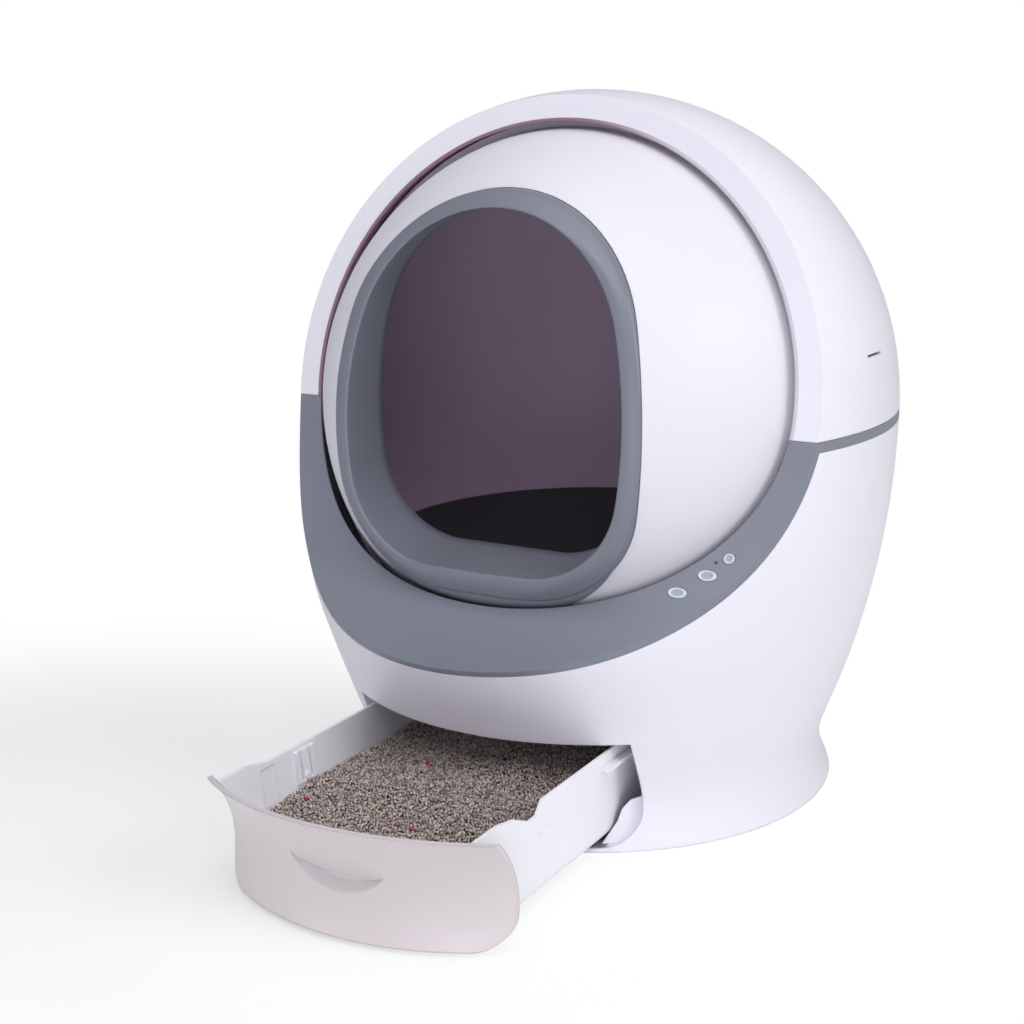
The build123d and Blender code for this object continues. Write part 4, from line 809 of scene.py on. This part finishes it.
# a random turn for each grain, as a quaternion and then as a matrix
count = len(spots)
turns = seed.normal(size=(count, 4))
turns /= np.linalg.norm(turns, axis=1)[:, None]
w, i, j, k = turns.T
spin = np.stack([
    np.stack([1 - 2 * (j * j + k * k), 2 * (i * j - k * w), 2 * (i * k + j * w)], axis=1),
    np.stack([2 * (i * j + k * w), 1 - 2 * (i * i + k * k), 2 * (j * k - i * w)], axis=1),
    np.stack([2 * (i * k - j * w), 2 * (j * k + i * w), 1 - 2 * (i * i + j * j)], axis=1),
], axis=1)

sizes = seed.uniform(1.05, 1.36, size=(count, 1, 1))
sizes = sizes * seed.uniform(0.9, 1.1, size=(count, 1, 3)) * MM
pink, navy, green = (0.62, 0.03, 0.20), (0.025, 0.035, 0.20), (0.10, 0.18, 0.15)
accent_places = (
    (pink, -38, -227), (pink, 20, -342), (pink, -85, -331), (navy, 17, -192), (navy, -54, -370),
)
accents = [
    (int(np.argmin(np.hypot(spots[:, 0] - x * MM, spots[:, 1] - y * MM))), colour)
    for colour, x, y in accent_places
]
accent_size, accent_lift = 1.7, 0.9 * MM
for index, _colour in accents:
    sizes[index] *= accent_size
    spots[index, 2] += accent_lift
shapes = pebble[None] * (1 + seed.uniform(-0.16, 0.16, size=(count, 12, 1)))
grains = np.einsum("nij,nkj->nki", spin, shapes * sizes) + spots[:, None, :]
faces = (pebble_faces[None] + 12 * np.arange(count)[:, None, None]).reshape(-1, 3)

grain_mesh = bpy.data.meshes.new("litter_grains")
grain_mesh.vertices.add(count * 12)
grain_mesh.vertices.foreach_set("co", grains.reshape(-1))
grain_mesh.loops.add(len(faces) * 3)
grain_mesh.loops.foreach_set("vertex_index", faces.reshape(-1))
grain_mesh.polygons.add(len(faces))
grain_mesh.polygons.foreach_set("loop_start", np.arange(0, len(faces) * 3, 3))
grain_mesh.polygons.foreach_set("use_smooth", np.ones(len(faces), dtype=bool))
grain_mesh.update(calc_edges=True)

# each grain has its own tone, kept as a colour on its points
tan = np.array((0.72, 0.61, 0.56))
tones = tan * seed.uniform(0.38, 1.2, size=(count, 1)) * seed.uniform(0.95, 1.05, size=(count, 3))
for colour, number in ((pink, 4), (navy, 5), (green, 8)):
    tones[seed.choice(count, number, replace=False)] = colour
for index, colour in accents:
    tones[index] = colour
point_tones = np.repeat(np.hstack([tones, np.ones((count, 1))]), 12, axis=0)
layer = grain_mesh.color_attributes.new("grain_tone", "FLOAT_COLOR", "POINT")
layer.data.foreach_set("color", point_tones.reshape(-1))
grain_object = bpy.data.objects.new("litter_grains", grain_mesh)
bpy.context.scene.collection.objects.link(grain_object)

# %% Litter finish
litter_material, litter_tree, litter_output = new_material("litter_clay")
litter_shader = node(litter_tree, "ShaderNodeBsdfPrincipled", (300, 0))
litter_shader.inputs["Specular IOR Level"].default_value = 0.25
litter_tone = node(litter_tree, "ShaderNodeVertexColor", (-500, 100), layer_name="grain_tone")
litter_dust = node(litter_tree, "ShaderNodeTexNoise", (-500, -150))
litter_dust.inputs["Scale"].default_value = 1500.0
litter_coords = node(litter_tree, "ShaderNodeTexCoord", (-800, -150))
litter_mix = node(
    litter_tree, "ShaderNodeMix", (-100, 100), data_type="RGBA", blend_type="MULTIPLY"
)
litter_mix.inputs["Factor"].default_value = 0.5
litter_rough = node(litter_tree, "ShaderNodeMapRange", (-100, -100))
litter_rough.inputs["To Min"].default_value = 0.75
litter_rough.inputs["To Max"].default_value = 0.95
litter_bump = node(litter_tree, "ShaderNodeBump", (-100, -350))
litter_bump.inputs["Strength"].default_value = 0.5
litter_bump.inputs["Distance"].default_value = 0.2 * MM
link(
    litter_tree,
    (litter_coords.outputs["Object"], litter_dust.inputs["Vector"]),
    (litter_tone.outputs["Color"], litter_mix.inputs["A"]),
    (litter_dust.outputs["Color"], litter_mix.inputs["B"]),
    (litter_mix.outputs["Result"], litter_shader.inputs["Base Color"]),
    (litter_dust.outputs["Fac"], litter_rough.inputs["Value"]),
    (litter_rough.outputs[0], litter_shader.inputs["Roughness"]),
    (litter_dust.outputs["Fac"], litter_bump.inputs["Height"]),
    (litter_bump.outputs["Normal"], litter_shader.inputs["Normal"]),
    (litter_shader.outputs["BSDF"], litter_output.inputs["Surface"]),
)
grain_mesh.materials.append(litter_material)
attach(grain_object, "drawer")
# the heap's near-black finish is painted shade for the gaps between the grains
finishes["litter_shade_bed"] = plastic(
    "litter_shade_bed", (0.035, 0.025, 0.022), (0.025, 0.018, 0.015), (0.85, 0.95),
    grain=0.6, grain_scale=700, corner=0.3,
)

# %% [markdown]
# The heap under the grains is a grid over the tub's plan, at the grains' own height less 2.2 mm.
# Its two ends go down to the tub's floor, and flat sides and a bottom close it. Its near-black
# finish is painted shade for the gaps between the grains.

# %% Heap under the grains
steps = 60
heap_drop, heap_half_width, heap_floor, floor_share = 2.2, 110.5, 9.2, 0.93
heap_points, heap_faces = [], []
for v in np.linspace(0, 1, steps):
    for u in np.linspace(-1, 1, steps):
        x = u * heap_half_width * MM
        front_y = drawer_axis_y - math.sqrt(front_reach**2 - x**2)
        y = front_y + v * (rear_y - front_y)
        z = heap_height(x, y) - heap_drop * MM
        reach = litter_half_width(z)
        heap_points.append((min(max(x, -reach), reach), y, z))
for v in (0, steps - 1):
    for u in range(steps):
        x, y, z = heap_points[v * steps + u]
        heap_points.append((x * floor_share, y, heap_floor * MM))
for r in range(steps - 1):
    for c in range(steps - 1):
        a = r * steps + c
        heap_faces.append((a, a + 1, a + steps + 1, a + steps))
low_front, low_rear = steps * steps, steps * steps + steps
last = steps - 1
for c in range(last):
    rear = steps * last + c
    heap_faces.append((low_front + c, low_front + c + 1, c + 1, c))
    heap_faces.append((low_rear + c + 1, low_rear + c, rear, rear + 1))
left = [low_front] + [r * steps for r in range(steps)] + [low_rear]
right = [low_front + last] + [r * steps + last for r in range(steps)] + [low_rear + last]
heap_faces += [tuple(left), tuple(right[::-1])]
heap_faces.append((low_front, low_rear, low_rear + last, low_front + last))
heap_mesh = bpy.data.meshes.new("litter_heap")
heap_mesh.from_pydata(heap_points, [], heap_faces)
heap_mesh.validate()
heap_mesh.materials.append(finishes["litter_shade_bed"])
heap = bpy.data.objects.new("litter_heap", heap_mesh)
bpy.context.scene.collection.objects.link(heap)
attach(heap, "drawer")
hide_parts("litter_fill")
print("heap", len(heap_points), "points")
